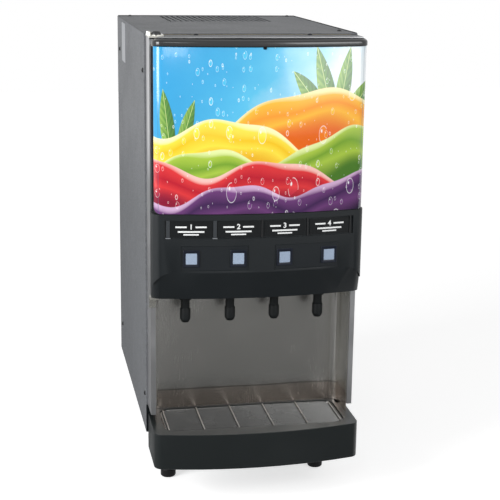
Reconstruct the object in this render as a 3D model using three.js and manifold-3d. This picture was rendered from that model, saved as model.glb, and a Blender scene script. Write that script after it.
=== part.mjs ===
import * as THREE from 'three';
import { ConvexGeometry } from 'three/addons/geometries/ConvexGeometry.js';
import { mergeVertices } from 'three/addons/utils/BufferGeometryUtils.js';
import Module from 'manifold-3d';

const wasm = await Module();
wasm.setup();

// Countertop cold beverage dispenser with four nozzles, in millimetres.
// X runs to the right seen from the front, Y to the rear and Z up.
// The origin lies on the counter, under the middle of the bounding box.

// Driving sizes
const cabinetWidth = 381;
const cabinetDepth = 505;
const cabinetTopZ = 840;
const legHeight = 108;
const trayReach = 128;
const inletReach = 22;
const cupBayDepth = 22.3;
const seatGap = 0.3;
const panelSheet = 1.5;
const cutOverrun = 2;

// Planes that the pieces share
const cabinetFrontY = (trayReach - cabinetDepth - inletReach) / 2;
const cabinetRearY = cabinetFrontY + cabinetDepth;
const halfWidth = cabinetWidth / 2;
const sideInnerX = halfWidth - panelSheet;
const innerHalfWidth = sideInnerX - seatGap;
const cupBayRearY = cabinetFrontY + cupBayDepth;
const topLip = 10;

// Flavours, from left to right
const flavourCount = 4;
const flavourSideMargin = 27.5;
const flavourPitch = (cabinetWidth - 2 * flavourSideMargin) / flavourCount;
const flavourNumbers = Array.from({ length: flavourCount }, (unused, index) => index + 1);

// Front frame: folded stainless channels that carry the door and the splash panel
const frame = {
  sheet: 1.2,
  depth: 53,
  sideInset: 3.3,
  flange: 9,
  bottomZ: 162,
  topZ: 838,
  topBar: 12,
  midBarZ: 384,
  midBar: 14,
  midLip: 5,
  returnGap: 5,
};
const frameHalfWidth = halfWidth - frame.sideInset;
const frameInnerX = frameHalfWidth - frame.flange;
const frameFrontY = cabinetFrontY - seatGap - frame.depth;
const frameRearY = cabinetFrontY - seatGap;

// Door: shells with a bowed front round a shallow steel pan
const door = {
  backGap: 4,
  bottomZ: 388,
  topGap: 2,
  frontLead: 111.7,
  bowRadius: 860,
  cornerRadius: 16,
  shell: 3,
  panDepth: 17,
  panSheet: 1.5,
  fasciaTopZ: 541,
  trimHeight: 12.5,
  trimLead: 2,
  trimSideLead: 2.2,
  trimBackGap: 14,
};
const doorBackY = frameFrontY - door.backGap;
const doorFrontY = cabinetFrontY - door.frontLead;
const doorTopZ = frame.topZ - door.topGap;
const doorOutline = {
  halfWidth: frameHalfWidth,
  frontY: doorFrontY,
  bowRadius: door.bowRadius,
  cornerRadius: door.cornerRadius,
};
const panHalfWidth = frameHalfWidth - door.shell - seatGap;
const panFrontY = doorBackY - door.panDepth;

// Hinge line of the door
const hinge = {
  inset: 6.2,
  setBack: 9.7,
  pinRadius: 3,
  pinPlay: 0.4,
  pinReach: 12,
  plate: 3,
  plateFront: 7,
  plateSideLead: 2.6,
  plateWidth: 15,
  upperLength: 52,
  seatWidth: 28,
  seatLength: 28,
  boltRadius: 3.6,
  boltHead: 4.5,
  boltInset: 4,
  boltPitch: 19,
  lowerTab: 20,
};
const hingeX = -frameHalfWidth + hinge.inset;
const hingeY = doorBackY - hinge.setBack;

// Seal and foam-filled liner of the door
const seal = { width: 8, inset: 5.2 };
const sealThickness = door.backGap - 2 * seatGap;
const linerPlug = { inset: 26, rise: 13 };

// Cup bay
const splash = { sheet: 1.2, cornerRadius: 15, sideFrontGap: 3 };
const deck = { thickness: 2, frontGap: 3, holeRadius: 12 };
const deckTopZ = frame.midBarZ - seatGap;
const deckBottomZ = deckTopZ - deck.thickness;

// Dispensing nozzles
const nozzle = {
  lead: 31,
  bottomZ: 329,
  cupTopZ: 354,
  cupRadius: 9.6,
  neckRadius: 8,
  collarZ: 371,
  collarRadius: 11,
  flangeRadius: 16,
  flangeHeight: 4,
  tipRadius: 6.4,
  tipHeight: 6,
  lugLength: 34,
  lugWidth: 6,
  lugHeight: 4,
  lugDrop: 3,
  boreRadius: 4.2,
  boreDepth: 14,
};

// Lower front panel that the tray hangs on
const lowerPanel = { sheet: 2 };

// Drip tray with its grille
const tray = {
  topZ: 145,
  bottomZ: 79,
  sideInset: 3.5,
  rearInset: 15,
  shoulder: 1,
  bowRadius: 800,
  cornerRadius: 16,
  wall: 3,
  rim: 33,
  wellFloorZ: 96,
  ledge: 4,
  ledgeDrop: 4.6,
  wellCornerRadius: 22,
};
const trayFrontY = cabinetFrontY - trayReach;
const trayRearY = cupBayRearY - lowerPanel.sheet - seatGap;
const trayHalfWidth = halfWidth - tray.sideInset;
const trayRearHalfWidth = trayHalfWidth - tray.rearInset;
const trayOutline = {
  halfWidth: trayHalfWidth,
  frontY: trayFrontY,
  bowRadius: tray.bowRadius,
  cornerRadius: tray.cornerRadius,
};
const grille = {
  wire: 2.4,
  rimWire: 3,
  longWires: 22,
  crossWires: 6,
  crossEndGap: 2.5,
  longLift: 0.3,
  fuse: 0.5,
  inset: 0.5,
};

// Refrigerated compartment
const compartment = { wall: 3, depth: 262, rearFoam: 12 };
const linerHalfWidth = frameInnerX - seatGap;
const linerBottomZ = frame.midBarZ + frame.midBar + seatGap;
const linerTopZ = frame.topZ - frame.topBar - seatGap;
const linerFrontY = frameFrontY + seatGap;
const linerRearY = cabinetFrontY + compartment.depth;

// Equipment shelf that carries the compartment and the water bath
const shelf = { sheet: 2, drop: 10.2 };
const shelfTopZ = linerBottomZ - seatGap - shelf.drop;
const shelfBottomZ = shelfTopZ - shelf.sheet;

// Concentrate containers
const container = {
  gap: 5.5,
  frontGap: 30,
  rearGap: 6,
  height: 292,
  edgeRadius: 10,
  neckRadius: 21,
  neckHeight: 16,
  capRadius: 26,
  capHeight: 14,
  neckSetBack: 60,
  gripWidth: 44,
  gripHeight: 70,
  gripDepth: 16,
  gripTopDrop: 40,
};
const containerWidth = flavourPitch - container.gap;

// Water bath
const bath = { wall: 2, sideGap: 18.7, frontGap: 84, depth: 132, height: 252, lid: 3, shaftHole: 9 };
const bathHalfWidth = innerHalfWidth - bath.sideGap;
const bathFrontY = linerRearY + bath.frontGap;
const bathRearY = bathFrontY + bath.depth;
const bathBottomZ = shelfTopZ + seatGap;
const bathTopZ = bathBottomZ + bath.height;
const bathMiddleY = (bathFrontY + bathRearY) / 2;
const lidBottomZ = bathTopZ + seatGap;
const lidTopZ = lidBottomZ + bath.lid;
const coil = { tubeRadius: 5, wallGap: 7, turns: 4, pitch: 38, sides: 6, stepsPerTurn: 14 };
const agitator = {
  motorRadius: 30,
  motorHeight: 58,
  flangeRadius: 40,
  flangeHeight: 4,
  shaftRadius: 4,
  bladeLength: 30,
  bladeHeight: 26,
  bladeThickness: 2.5,
  bladeLift: 44,
  bladeCount: 4,
};

// Machine compartment under the shelf
const basePan = { sheet: 1.5, rim: 20, studHoleRadius: 6.5 };
const floorZ = legHeight + basePan.sheet;
const leg = {
  padRadius: 14.5,
  padHeight: 14,
  waistRadius: 13,
  topRadius: 19,
  topHeight: 12,
  studRadius: 5.5,
  studRise: 14,
  insetX: 46,
  frontInset: 42,
  rearInset: 52,
  chamfer: 2,
};
const compressor = {
  sideGap: 23,
  setBack: 330,
  bodyRadius: 74,
  bodyHeight: 168,
  shoulder: 16,
  crown: 12,
  footPlate: 3,
  footWidth: 158,
  footDepth: 118,
  cushion: 8,
  cushionRadius: 11,
  pipeRadius: 5,
  pipeRise: 34,
};
const compressorX = -sideInnerX + compressor.sideGap + compressor.bodyRadius;
const condenser = {
  sideGap: 13,
  width: 196,
  depth: 42,
  height: 190,
  setBack: 62,
  finPitch: 11,
  finThickness: 3,
  finReach: 14,
};
const condenserX = sideInnerX - condenser.sideGap - condenser.width / 2;
const shroud = { depth: 52, edge: 13, bar: 4, barHeight: 26, shaftHole: 6, bladeSetBack: 22 };
const shroudBoreRadius = Math.min(condenser.width, condenser.height) / 2 - shroud.edge;
const fan = {
  hubRadius: 20,
  hubDepth: 24,
  tipGap: 6,
  bladeThickness: 2,
  bladeDepth: 30,
  blades: 5,
  shaftRadius: 4,
};
const fanTipRadius = shroudBoreRadius - fan.tipGap;
const fanPitch = Math.PI / 6;
const fanMotor = { radius: 30, depth: 52 };

// Beverage drives and electrics behind the compartment
const pump = { rail: 3, railEdge: 8, gearSize: 46, gearDepth: 24, canRadius: 19, canDepth: 36, z: 466 };
const board = {
  x: 0,
  width: 170,
  height: 100,
  thickness: 1.6,
  z: 700,
  standoff: 10,
  standoffRadius: 3,
  corner: 8,
  relay: 18,
  relayDepth: 14,
  relayCount: 5,
  relayPitch: 26,
  chipWidth: 44,
  chipHeight: 24,
  chipDepth: 4,
};

// Rear connections
const waterInlet = {
  x: 122,
  z: 164,
  radius: 10.5,
  flangeRadius: 16,
  flange: 3.5,
  inward: 18,
  play: 0.5,
  boreRadius: 6,
};
const powerInlet = {
  x: -122,
  z: 164,
  width: 50,
  height: 30,
  flange: 3,
  bodyWidth: 30,
  bodyHeight: 22,
  inward: 24,
  play: 0.5,
  socketWidth: 23,
  socketHeight: 15,
  socketDepth: 16,
};

// Top vent and rear louvres
const vent = { width: 212, depth: 172, rearGap: 9, slots: 19, slotWidthShare: 0.55 };
const louvre = { width: 120, height: 6, pitch: 17, rows: 9, bottomZ: 196, xOffset: 84 };

// Operating panel on the door
const fascia = {
  undercutRise: 50,
  undercutDepth: 14,
  undercutCorner: 36,
  recessDepth: 3,
  backWall: 3,
  bottomWall: 3,
};
const labelRecess = { sideReach: 4, bottomZ: 499, topZ: 531 };
const labelRecessHalfWidth = (flavourCount * flavourPitch) / 2 + labelRecess.sideReach;
const label = { gap: 8.5, height: 27, thickness: 1.2 };
const labelWidth = flavourPitch - label.gap;
const keypad = { sideReach: 17.25, height: 44, z: 464, recess: 3, plate: 1.6, bodyGap: 0.4 };
const keypadWidth = flavourPitch + 2 * keypad.sideReach;
const keypadX = flavourPitch;
const button = { size: 21, play: 0.4, proud: 1.4, flange: 2, flangeThickness: 1.6 };
const buttonBoard = { thickness: 1.6, height: 52, sideGap: 24 };

// Cover over the upper hinge bolt
const hingeCap = { width: 21, depth: 16, height: 8, crown: 2.5, sideLead: 1, frontGap: 6 };

// Facet counts
const arcFacets = 5;
const roundFacets = 18;
const smallRoundFacets = 10;
const hexFacets = 6;

// Colours and surfaces
const hammeredGrey = { color: 0x8d8e92, roughness: 0.5, metalness: 0.3 };
const stainless = { color: 0xa8a8a8, roughness: 0.35, metalness: 0.9 };
const galvanised = { color: 0xa3a6a8, roughness: 0.45, metalness: 0.8 };
const zinc = { color: 0xc9c9c4, roughness: 0.3, metalness: 0.9 };
const chrome = { color: 0xd8d8d8, roughness: 0.12, metalness: 1 };
const brass = { color: 0xb08d4a, roughness: 0.35, metalness: 0.9 };
const copper = { color: 0xb06a42, roughness: 0.35, metalness: 0.9 };
const aluminium = { color: 0xc2c4c6, roughness: 0.4, metalness: 0.9 };
const enamelBlack = { color: 0x17181a, roughness: 0.35, metalness: 0.2 };
const plasticBlack = { color: 0x1e2325, roughness: 0.55, metalness: 0 };
const glossBlack = { color: 0x0b0c0e, roughness: 0.12, metalness: 0 };
const rubberBlack = { color: 0x141414, roughness: 0.9, metalness: 0 };
const sealGrey = { color: 0x6d6f72, roughness: 0.8, metalness: 0 };
const linerWhite = { color: 0xe9ebec, roughness: 0.35, metalness: 0 };
const foamCream = { color: 0xe3d7ae, roughness: 0.95, metalness: 0 };
const bottleWhite = { color: 0xf1efe6, roughness: 0.4, metalness: 0 };
const printBlue = { color: 0x4aa6d8, roughness: 0.25, metalness: 0 };
const labelBlack = { color: 0x101113, roughness: 0.4, metalness: 0 };
const keypadBlue = { color: 0x1b2a3d, roughness: 0.3, metalness: 0 };
const lensBlue = { color: 0xc3d4de, roughness: 0.2, metalness: 0 };
const boardGreen = { color: 0x1f5b3a, roughness: 0.6, metalness: 0 };

// Solid helpers
function toSolid(geometry) {
  geometry.deleteAttribute('normal');
  geometry.deleteAttribute('uv');
  const merged = mergeVertices(geometry);
  const corners = merged.index.array;
  const kept = [];
  for (let first = 0; first < corners.length; first += 3) {
    const [a, b, c] = corners.slice(first, first + 3);
    if (a !== b && b !== c && c !== a) kept.push(a, b, c);
  }
  return new wasm.Manifold(new wasm.Mesh({
    numProp: 3,
    vertProperties: new Float32Array(merged.attributes.position.array),
    triVerts: new Uint32Array(kept),
  }));
}

function toGeometry(solid) {
  const mesh = solid.getMesh();
  const geometry = new THREE.BufferGeometry();
  geometry.setAttribute('position', new THREE.BufferAttribute(new Float32Array(mesh.vertProperties), 3));
  geometry.setIndex(new THREE.BufferAttribute(new Uint32Array(mesh.triVerts), 1));
  geometry.computeVertexNormals();
  return geometry;
}

function joined(solids) {
  return solids.reduce((whole, piece) => whole.add(piece));
}

function cut(solid, tools) {
  return tools.reduce((whole, tool) => whole.subtract(tool), solid);
}

function block([x0, x1], [y0, y1], [z0, z1]) {
  const geometry = new THREE.BoxGeometry(x1 - x0, y1 - y0, z1 - z0);
  geometry.translate((x0 + x1) / 2, (y0 + y1) / 2, (z0 + z1) / 2);
  return toSolid(geometry);
}

function centredBlock(x, y, z, width, depth, height) {
  return block([x - width / 2, x + width / 2], [y - depth / 2, y + depth / 2], [z, z + height]);
}

function rodAlongZ(radius, x, y, [z0, z1], facets = smallRoundFacets) {
  const geometry = new THREE.CylinderGeometry(radius, radius, z1 - z0, facets);
  geometry.rotateX(Math.PI / 2);
  geometry.translate(x, y, (z0 + z1) / 2);
  return toSolid(geometry);
}

function rodAlongY(radius, x, [y0, y1], z, facets = smallRoundFacets) {
  const geometry = new THREE.CylinderGeometry(radius, radius, y1 - y0, facets);
  geometry.translate(x, (y0 + y1) / 2, z);
  return toSolid(geometry);
}

// A profile of [radius, height] pairs turned about a vertical axis
function turned(profile, x, y, z, facets = roundFacets) {
  const points = profile.map(([radius, height]) => new THREE.Vector2(radius, height));
  const geometry = new THREE.LatheGeometry(points, facets);
  geometry.rotateX(Math.PI / 2);
  geometry.translate(x, y, z);
  return toSolid(geometry);
}

// An outline in X and Y raised between two heights
function raised(shape, [z0, z1]) {
  const geometry = new THREE.ExtrudeGeometry(shape, {
    depth: z1 - z0,
    bevelEnabled: false,
    curveSegments: arcFacets,
  });
  geometry.translate(0, 0, z0);
  return toSolid(geometry);
}

// An outline in X and Z swept between two places in Y
function sweptAlongY(shape, [y0, y1]) {
  const geometry = new THREE.ExtrudeGeometry(shape, {
    depth: y1 - y0,
    bevelEnabled: false,
    curveSegments: arcFacets,
  });
  geometry.rotateX(Math.PI / 2);
  geometry.translate(0, y1, 0);
  return toSolid(geometry);
}

function polygon(points) {
  const shape = new THREE.Shape();
  points.forEach(([a, b], index) => (index === 0 ? shape.moveTo(a, b) : shape.lineTo(a, b)));
  shape.closePath();
  return shape;
}

function roundedRectangle([x0, x1], [y0, y1], radius) {
  const shape = new THREE.Shape();
  shape.moveTo(x0 + radius, y0);
  shape.lineTo(x1 - radius, y0);
  shape.absarc(x1 - radius, y0 + radius, radius, -Math.PI / 2, 0, false);
  shape.lineTo(x1, y1 - radius);
  shape.absarc(x1 - radius, y1 - radius, radius, 0, Math.PI / 2, false);
  shape.lineTo(x0 + radius, y1);
  shape.absarc(x0 + radius, y1 - radius, radius, Math.PI / 2, Math.PI, false);
  shape.lineTo(x0, y0 + radius);
  shape.absarc(x0 + radius, y0 + radius, radius, Math.PI, 1.5 * Math.PI, false);
  return shape;
}

// A plan outline with a bowed front between two rounded corners, drawn in by an inset
function bowedOutline(outline, inset, backPoints) {
  const sideX = outline.halfWidth - inset;
  const bow = outline.bowRadius - inset;
  const corner = outline.cornerRadius - inset;
  const centreY = outline.frontY + outline.bowRadius;
  const cornerX = sideX - corner;
  const cornerY = centreY - Math.sqrt((bow - corner) ** 2 - cornerX ** 2);
  const lean = Math.atan2(cornerX, centreY - cornerY);
  const down = 1.5 * Math.PI;
  const shape = new THREE.Shape();
  shape.moveTo(-sideX, backPoints[0][1]);
  shape.lineTo(-sideX, cornerY);
  shape.absarc(-cornerX, cornerY, corner, Math.PI, down - lean, false);
  shape.absarc(0, centreY, bow, down - lean, down + lean, false);
  shape.absarc(cornerX, cornerY, corner, down + lean, 2 * Math.PI, false);
  shape.lineTo(sideX, backPoints[0][1]);
  backPoints.slice(1).forEach(([x, y]) => shape.lineTo(x, y));
  [...backPoints].reverse().slice(0, -1).forEach(([x, y]) => shape.lineTo(-x, y));
  return shape;
}

// The place of the door's front face at a distance from its middle
function doorFaceY(x, depth = 0) {
  return doorFrontY + door.bowRadius - Math.sqrt((door.bowRadius - depth) ** 2 - x ** 2);
}

// A plate that follows the door's bowed face between two depths behind it
function bowedPlate([x0, x1], [z0, z1], [outerDepth, innerDepth]) {
  const centreY = doorFrontY + door.bowRadius;
  const outer = door.bowRadius - outerDepth;
  const inner = door.bowRadius - innerDepth;
  const angleAt = (x, radius) => Math.atan2(-Math.sqrt(radius ** 2 - x ** 2), x);
  const shape = new THREE.Shape();
  shape.absarc(0, centreY, outer, angleAt(x0, outer), angleAt(x1, outer), false);
  shape.absarc(0, centreY, inner, angleAt(x1, inner), angleAt(x0, inner), true);
  return raised(shape, [z0, z1]);
}

function flavourX(index) {
  return (index - (flavourCount - 1) / 2) * flavourPitch;
}

// Cabinet sheet metal
function makeBasePan() {
  const x = innerHalfWidth;
  const y0 = cupBayRearY + seatGap;
  const y1 = cabinetRearY - 2 * panelSheet - 2 * seatGap;
  const outer = block([-x, x], [y0, y1], [legHeight, legHeight + basePan.rim]);
  const inside = block(
    [-x + basePan.sheet, x - basePan.sheet],
    [y0 + basePan.sheet, y1 - basePan.sheet],
    [floorZ, legHeight + basePan.rim + cutOverrun],
  );
  const holes = legPlaces().map(({ x: legX, y: legY }) => (
    rodAlongZ(basePan.studHoleRadius, legX, legY, [legHeight - cutOverrun, floorZ + cutOverrun])
  ));
  return cut(outer, [inside, ...holes]);
}

function makeSidePanel(side) {
  const outerX = side * halfWidth;
  const skinX = side * sideInnerX;
  const foldX = side * (frameInnerX + seatGap);
  const ordered = (a, b) => [Math.min(a, b), Math.max(a, b)];
  const foldTop = cabinetTopZ - panelSheet - seatGap;
  return joined([
    block(ordered(outerX, skinX), [cabinetFrontY, cabinetRearY], [legHeight, cabinetTopZ]),
    block(ordered(outerX, foldX), [cabinetFrontY, cabinetFrontY + panelSheet], [legHeight, foldTop]),
    block(ordered(outerX, foldX), [cabinetRearY - panelSheet, cabinetRearY], [legHeight, foldTop]),
  ]);
}

function ventSlots() {
  const pitch = vent.width / vent.slots;
  const middleY = cabinetRearY - vent.rearGap - vent.depth / 2;
  return Array.from({ length: vent.slots }, (_, index) => centredBlock(
    (index + 0.5) * pitch - vent.width / 2,
    middleY,
    cabinetTopZ - panelSheet - cutOverrun,
    pitch * vent.slotWidthShare,
    vent.depth,
    panelSheet + 2 * cutOverrun,
  ));
}

function makeTopPanel() {
  const bottomZ = cabinetTopZ - panelSheet;
  const x = innerHalfWidth;
  const plate = block([-x, x], [cabinetFrontY, cabinetRearY], [bottomZ, cabinetTopZ]);
  const lipY = [cabinetFrontY + 2 * panelSheet, cabinetRearY - 3 * panelSheet];
  const lipZ = [bottomZ - topLip, bottomZ + panelSheet / 2];
  const lips = [-1, 1].map((side) => block(
    side < 0 ? [-x, -x + panelSheet] : [x - panelSheet, x],
    lipY,
    lipZ,
  ));
  return cut(joined([plate, ...lips]), ventSlots());
}

function rearLouvres() {
  const cuts = [];
  for (let row = 0; row < louvre.rows; row += 1) {
    const z = louvre.bottomZ + row * louvre.pitch;
    [-1, 1].forEach((side) => cuts.push(centredBlock(
      side * louvre.xOffset, cabinetRearY, z, louvre.width, 4 * panelSheet + cutOverrun, louvre.height,
    )));
  }
  return cuts;
}

function makeRearPanel() {
  const outerY = cabinetRearY - panelSheet - seatGap;
  const bottomZ = legHeight;
  const topZ = cabinetTopZ - panelSheet - seatGap;
  const plate = block([-innerHalfWidth, innerHalfWidth], [outerY - panelSheet, outerY], [bottomZ, topZ]);
  const waterHole = rodAlongY(
    waterInlet.radius + waterInlet.play, waterInlet.x,
    [outerY - panelSheet - cutOverrun, outerY + cutOverrun], waterInlet.z, roundFacets,
  );
  const powerHole = centredBlock(
    powerInlet.x, outerY, powerInlet.z - powerInlet.bodyHeight / 2 - powerInlet.play,
    powerInlet.bodyWidth + 2 * powerInlet.play, 2 * panelSheet + cutOverrun,
    powerInlet.bodyHeight + 2 * powerInlet.play,
  );
  return cut(plate, [waterHole, powerHole, ...rearLouvres()]);
}

function makeShelf() {
  const y0 = cabinetFrontY + panelSheet + seatGap;
  const y1 = cabinetRearY - 2 * panelSheet - 2 * seatGap;
  return block([-innerHalfWidth, innerHalfWidth], [y0, y1], [shelfBottomZ, shelfTopZ]);
}

// Front frame
function frameUpright(side) {
  const sheet = frame.sheet;
  const y0 = frameFrontY;
  const y1 = frameRearY;
  const outline = polygon([
    [side * frameHalfWidth, y1],
    [side * frameHalfWidth, y0],
    [side * frameInnerX, y0],
    [side * frameInnerX, y1 - frame.returnGap],
    [side * (frameInnerX + sheet), y1 - frame.returnGap],
    [side * (frameInnerX + sheet), y0 + sheet],
    [side * (frameHalfWidth - sheet), y0 + sheet],
    [side * (frameHalfWidth - sheet), y1],
  ]);
  return raised(outline, [frame.bottomZ, frame.topZ]);
}

function frameBar(bottomZ, height, skinReach) {
  const sheet = frame.sheet;
  const x = frameHalfWidth;
  const topZ = bottomZ + height;
  return joined([
    block([-x, x], [frameFrontY, frameFrontY + sheet], [bottomZ, topZ]),
    block([-x, x], [frameFrontY, frameFrontY + skinReach], [topZ - sheet, topZ]),
  ]);
}

function makeFrontFrame() {
  return joined([
    frameUpright(-1),
    frameUpright(1),
    frameBar(frame.topZ - frame.topBar, frame.topBar, frame.depth),
    frameBar(frame.midBarZ, frame.midBar, frame.midLip),
  ]);
}

// Panels of the cup bay
function splashOutline() {
  const outerX = frameInnerX - seatGap;
  const backY = cupBayRearY;
  const frontY = frameFrontY + splash.sideFrontGap;
  const radius = splash.cornerRadius;
  const inner = radius - splash.sheet;
  const centreX = outerX - radius;
  const centreY = backY - radius;
  const shape = new THREE.Shape();
  shape.moveTo(outerX, frontY);
  shape.lineTo(outerX, centreY);
  shape.absarc(centreX, centreY, radius, 0, Math.PI / 2, false);
  shape.lineTo(-centreX, backY);
  shape.absarc(-centreX, centreY, radius, Math.PI / 2, Math.PI, false);
  shape.lineTo(-outerX, frontY);
  shape.lineTo(-outerX + splash.sheet, frontY);
  shape.lineTo(-outerX + splash.sheet, centreY);
  shape.absarc(-centreX, centreY, inner, Math.PI, Math.PI / 2, true);
  shape.lineTo(centreX, backY - splash.sheet);
  shape.absarc(centreX, centreY, inner, Math.PI / 2, 0, true);
  shape.lineTo(outerX - splash.sheet, frontY);
  return shape;
}

function makeSplashPanel() {
  return raised(splashOutline(), [tray.topZ + seatGap, deckBottomZ - seatGap]);
}

function makeDispenseDeck() {
  const x = frameInnerX - seatGap;
  const plate = block(
    [-x, x],
    [frameFrontY + deck.frontGap, cupBayRearY],
    [deckBottomZ, deckTopZ],
  );
  const holes = flavourNumbers.map((number, index) => rodAlongZ(
    deck.holeRadius, flavourX(index), cabinetFrontY - nozzle.lead,
    [deckBottomZ - cutOverrun, deckTopZ + cutOverrun], roundFacets,
  ));
  return cut(plate, holes);
}

function makeLowerFrontPanel() {
  return block(
    [-innerHalfWidth, innerHalfWidth],
    [cupBayRearY - lowerPanel.sheet, cupBayRearY],
    [legHeight, tray.topZ],
  );
}

function makeNozzle(index) {
  const x = flavourX(index);
  const y = cabinetFrontY - nozzle.lead;
  const z = nozzle.bottomZ;
  const flangeZ = deckTopZ + seatGap;
  const body = turned([
    [0, 0],
    [nozzle.tipRadius, 0],
    [nozzle.cupRadius, nozzle.tipHeight],
    [nozzle.cupRadius, nozzle.cupTopZ - z],
    [nozzle.neckRadius, nozzle.cupTopZ - z + nozzle.cupRadius - nozzle.neckRadius],
    [nozzle.neckRadius, nozzle.collarZ - z],
    [nozzle.collarRadius, nozzle.collarZ - z],
    [nozzle.collarRadius, flangeZ - z],
    [nozzle.flangeRadius, flangeZ - z],
    [nozzle.flangeRadius, flangeZ + nozzle.flangeHeight - z],
    [0, flangeZ + nozzle.flangeHeight - z],
  ], x, y, z);
  const lugZ = deckBottomZ - nozzle.lugDrop - nozzle.lugHeight;
  const lugs = centredBlock(x, y, lugZ, nozzle.lugLength, nozzle.lugWidth, nozzle.lugHeight);
  const bore = rodAlongZ(nozzle.boreRadius, x, y, [z - cutOverrun, z + nozzle.boreDepth]);
  return cut(joined([body, lugs]), [bore]);
}

// Drip tray
function trayBack(inset) {
  const shoulderY = cabinetFrontY - tray.shoulder;
  const rearY = trayRearY - inset;
  return [
    [trayHalfWidth - inset, shoulderY - inset],
    [trayRearHalfWidth - inset, shoulderY - inset],
    [trayRearHalfWidth - inset, rearY],
  ];
}

function wellEdges(inset) {
  const x = trayRearHalfWidth - 2 * tray.wall - inset;
  return {
    x: [-x, x],
    y: [trayFrontY + tray.rim + inset, trayRearY - tray.wall - inset],
    radius: tray.wellCornerRadius - inset,
  };
}

function makeDripTray() {
  const skirt = raised(bowedOutline(trayOutline, 0, trayBack(0)), [tray.bottomZ, tray.topZ]);
  const underside = raised(
    bowedOutline(trayOutline, tray.wall, trayBack(tray.wall)),
    [tray.bottomZ - cutOverrun, tray.topZ - tray.wall],
  );
  const basinEdges = wellEdges(-tray.wall);
  const basin = raised(
    roundedRectangle(basinEdges.x, basinEdges.y, basinEdges.radius),
    [tray.wellFloorZ - tray.wall, tray.topZ - tray.wall / 2],
  );
  const seatEdges = wellEdges(0);
  const seat = raised(
    roundedRectangle(seatEdges.x, seatEdges.y, seatEdges.radius),
    [tray.topZ - tray.ledgeDrop, tray.topZ + cutOverrun],
  );
  const hollowEdges = wellEdges(tray.ledge);
  const hollow = raised(
    roundedRectangle(hollowEdges.x, hollowEdges.y, hollowEdges.radius),
    [tray.wellFloorZ, tray.topZ],
  );
  return cut(joined([cut(skirt, [underside]), basin]), [seat, hollow]);
}

// How far a rounded corner draws a wire in at its distance from the edge
function cornerDraw(radius, edgeDistance) {
  const reach = radius - edgeDistance;
  return reach > 0 ? radius - Math.sqrt(radius ** 2 - reach ** 2) : 0;
}

function makeDripGrille() {
  const edges = wellEdges(grille.inset);
  const middle = wellEdges(grille.inset + grille.rimWire / 2);
  const inner = wellEdges(grille.inset + grille.rimWire);
  const bottomZ = tray.topZ - tray.ledgeDrop + seatGap;
  const ring = roundedRectangle(edges.x, edges.y, edges.radius);
  ring.holes.push(roundedRectangle(inner.x, inner.y, inner.radius));
  const wires = [raised(ring, [bottomZ, bottomZ + grille.rimWire])];
  const longZ = bottomZ + grille.longLift;
  const longPitch = (inner.y[1] - inner.y[0]) / (grille.longWires + 1);
  for (let wire = 1; wire <= grille.longWires; wire += 1) {
    const y = inner.y[0] + wire * longPitch;
    const draw = cornerDraw(middle.radius, Math.min(y - middle.y[0], middle.y[1] - y));
    wires.push(block(
      [middle.x[0] + draw, middle.x[1] - draw],
      [y - grille.wire / 2, y + grille.wire / 2],
      [longZ, longZ + grille.wire],
    ));
  }
  const crossZ = longZ + grille.wire - grille.fuse;
  const crossX = inner.x[1] - grille.crossEndGap - grille.wire / 2;
  for (let wire = 0; wire < grille.crossWires; wire += 1) {
    const x = crossX * ((2 * wire) / (grille.crossWires - 1) - 1);
    const draw = cornerDraw(middle.radius, inner.x[1] - Math.abs(x));
    wires.push(block(
      [x - grille.wire / 2, x + grille.wire / 2],
      [middle.y[0] + draw, middle.y[1] - draw],
      [crossZ, crossZ + grille.wire],
    ));
  }
  return joined(wires);
}

// Refrigerated compartment
function makeCompartmentLiner() {
  const x = linerHalfWidth;
  const outer = block([-x, x], [linerFrontY, linerRearY], [linerBottomZ, linerTopZ]);
  const inside = block(
    [-x + compartment.wall, x - compartment.wall],
    [linerFrontY - cutOverrun, linerRearY - compartment.wall],
    [linerBottomZ + compartment.wall, linerTopZ - compartment.wall],
  );
  return cut(outer, [inside]);
}

function makeCabinetInsulation() {
  const x = innerHalfWidth - panelSheet - seatGap;
  const y0 = cabinetFrontY + panelSheet + seatGap;
  const z = [shelfTopZ + seatGap, cabinetTopZ - panelSheet - seatGap];
  const outer = block([-x, x], [y0, linerRearY + compartment.rearFoam], z);
  const inside = block(
    [-linerHalfWidth - seatGap, linerHalfWidth + seatGap],
    [y0 - cutOverrun, linerRearY + seatGap],
    [linerBottomZ - seatGap, linerTopZ + seatGap],
  );
  return cut(outer, [inside]);
}

function makeContainer(index) {
  const x = flavourX(index);
  const y = [cabinetFrontY - container.frontGap, linerRearY - compartment.wall - container.rearGap];
  const bottomZ = linerBottomZ + compartment.wall + seatGap;
  const topZ = bottomZ + container.height;
  const outline = roundedRectangle(
    [x - containerWidth / 2, x + containerWidth / 2], y, container.edgeRadius,
  );
  const body = raised(outline, [bottomZ, topZ]);
  const neckY = y[0] + container.neckSetBack;
  const neck = rodAlongZ(container.neckRadius, x, neckY, [topZ - cutOverrun, topZ + container.neckHeight]);
  const capZ = topZ + container.neckHeight;
  const cap = rodAlongZ(container.capRadius, x, neckY, [capZ, capZ + container.capHeight]);
  const grip = centredBlock(
    x, y[0], topZ - container.gripTopDrop - container.gripHeight,
    container.gripWidth, 2 * container.gripDepth, container.gripHeight,
  );
  return cut(joined([body, neck, cap]), [grip]);
}

// Water bath
function makeBathTank() {
  const outer = block([-bathHalfWidth, bathHalfWidth], [bathFrontY, bathRearY], [bathBottomZ, bathTopZ]);
  const inside = block(
    [-bathHalfWidth + bath.wall, bathHalfWidth - bath.wall],
    [bathFrontY + bath.wall, bathRearY - bath.wall],
    [bathBottomZ + bath.wall, bathTopZ + cutOverrun],
  );
  return cut(outer, [inside]);
}

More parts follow.
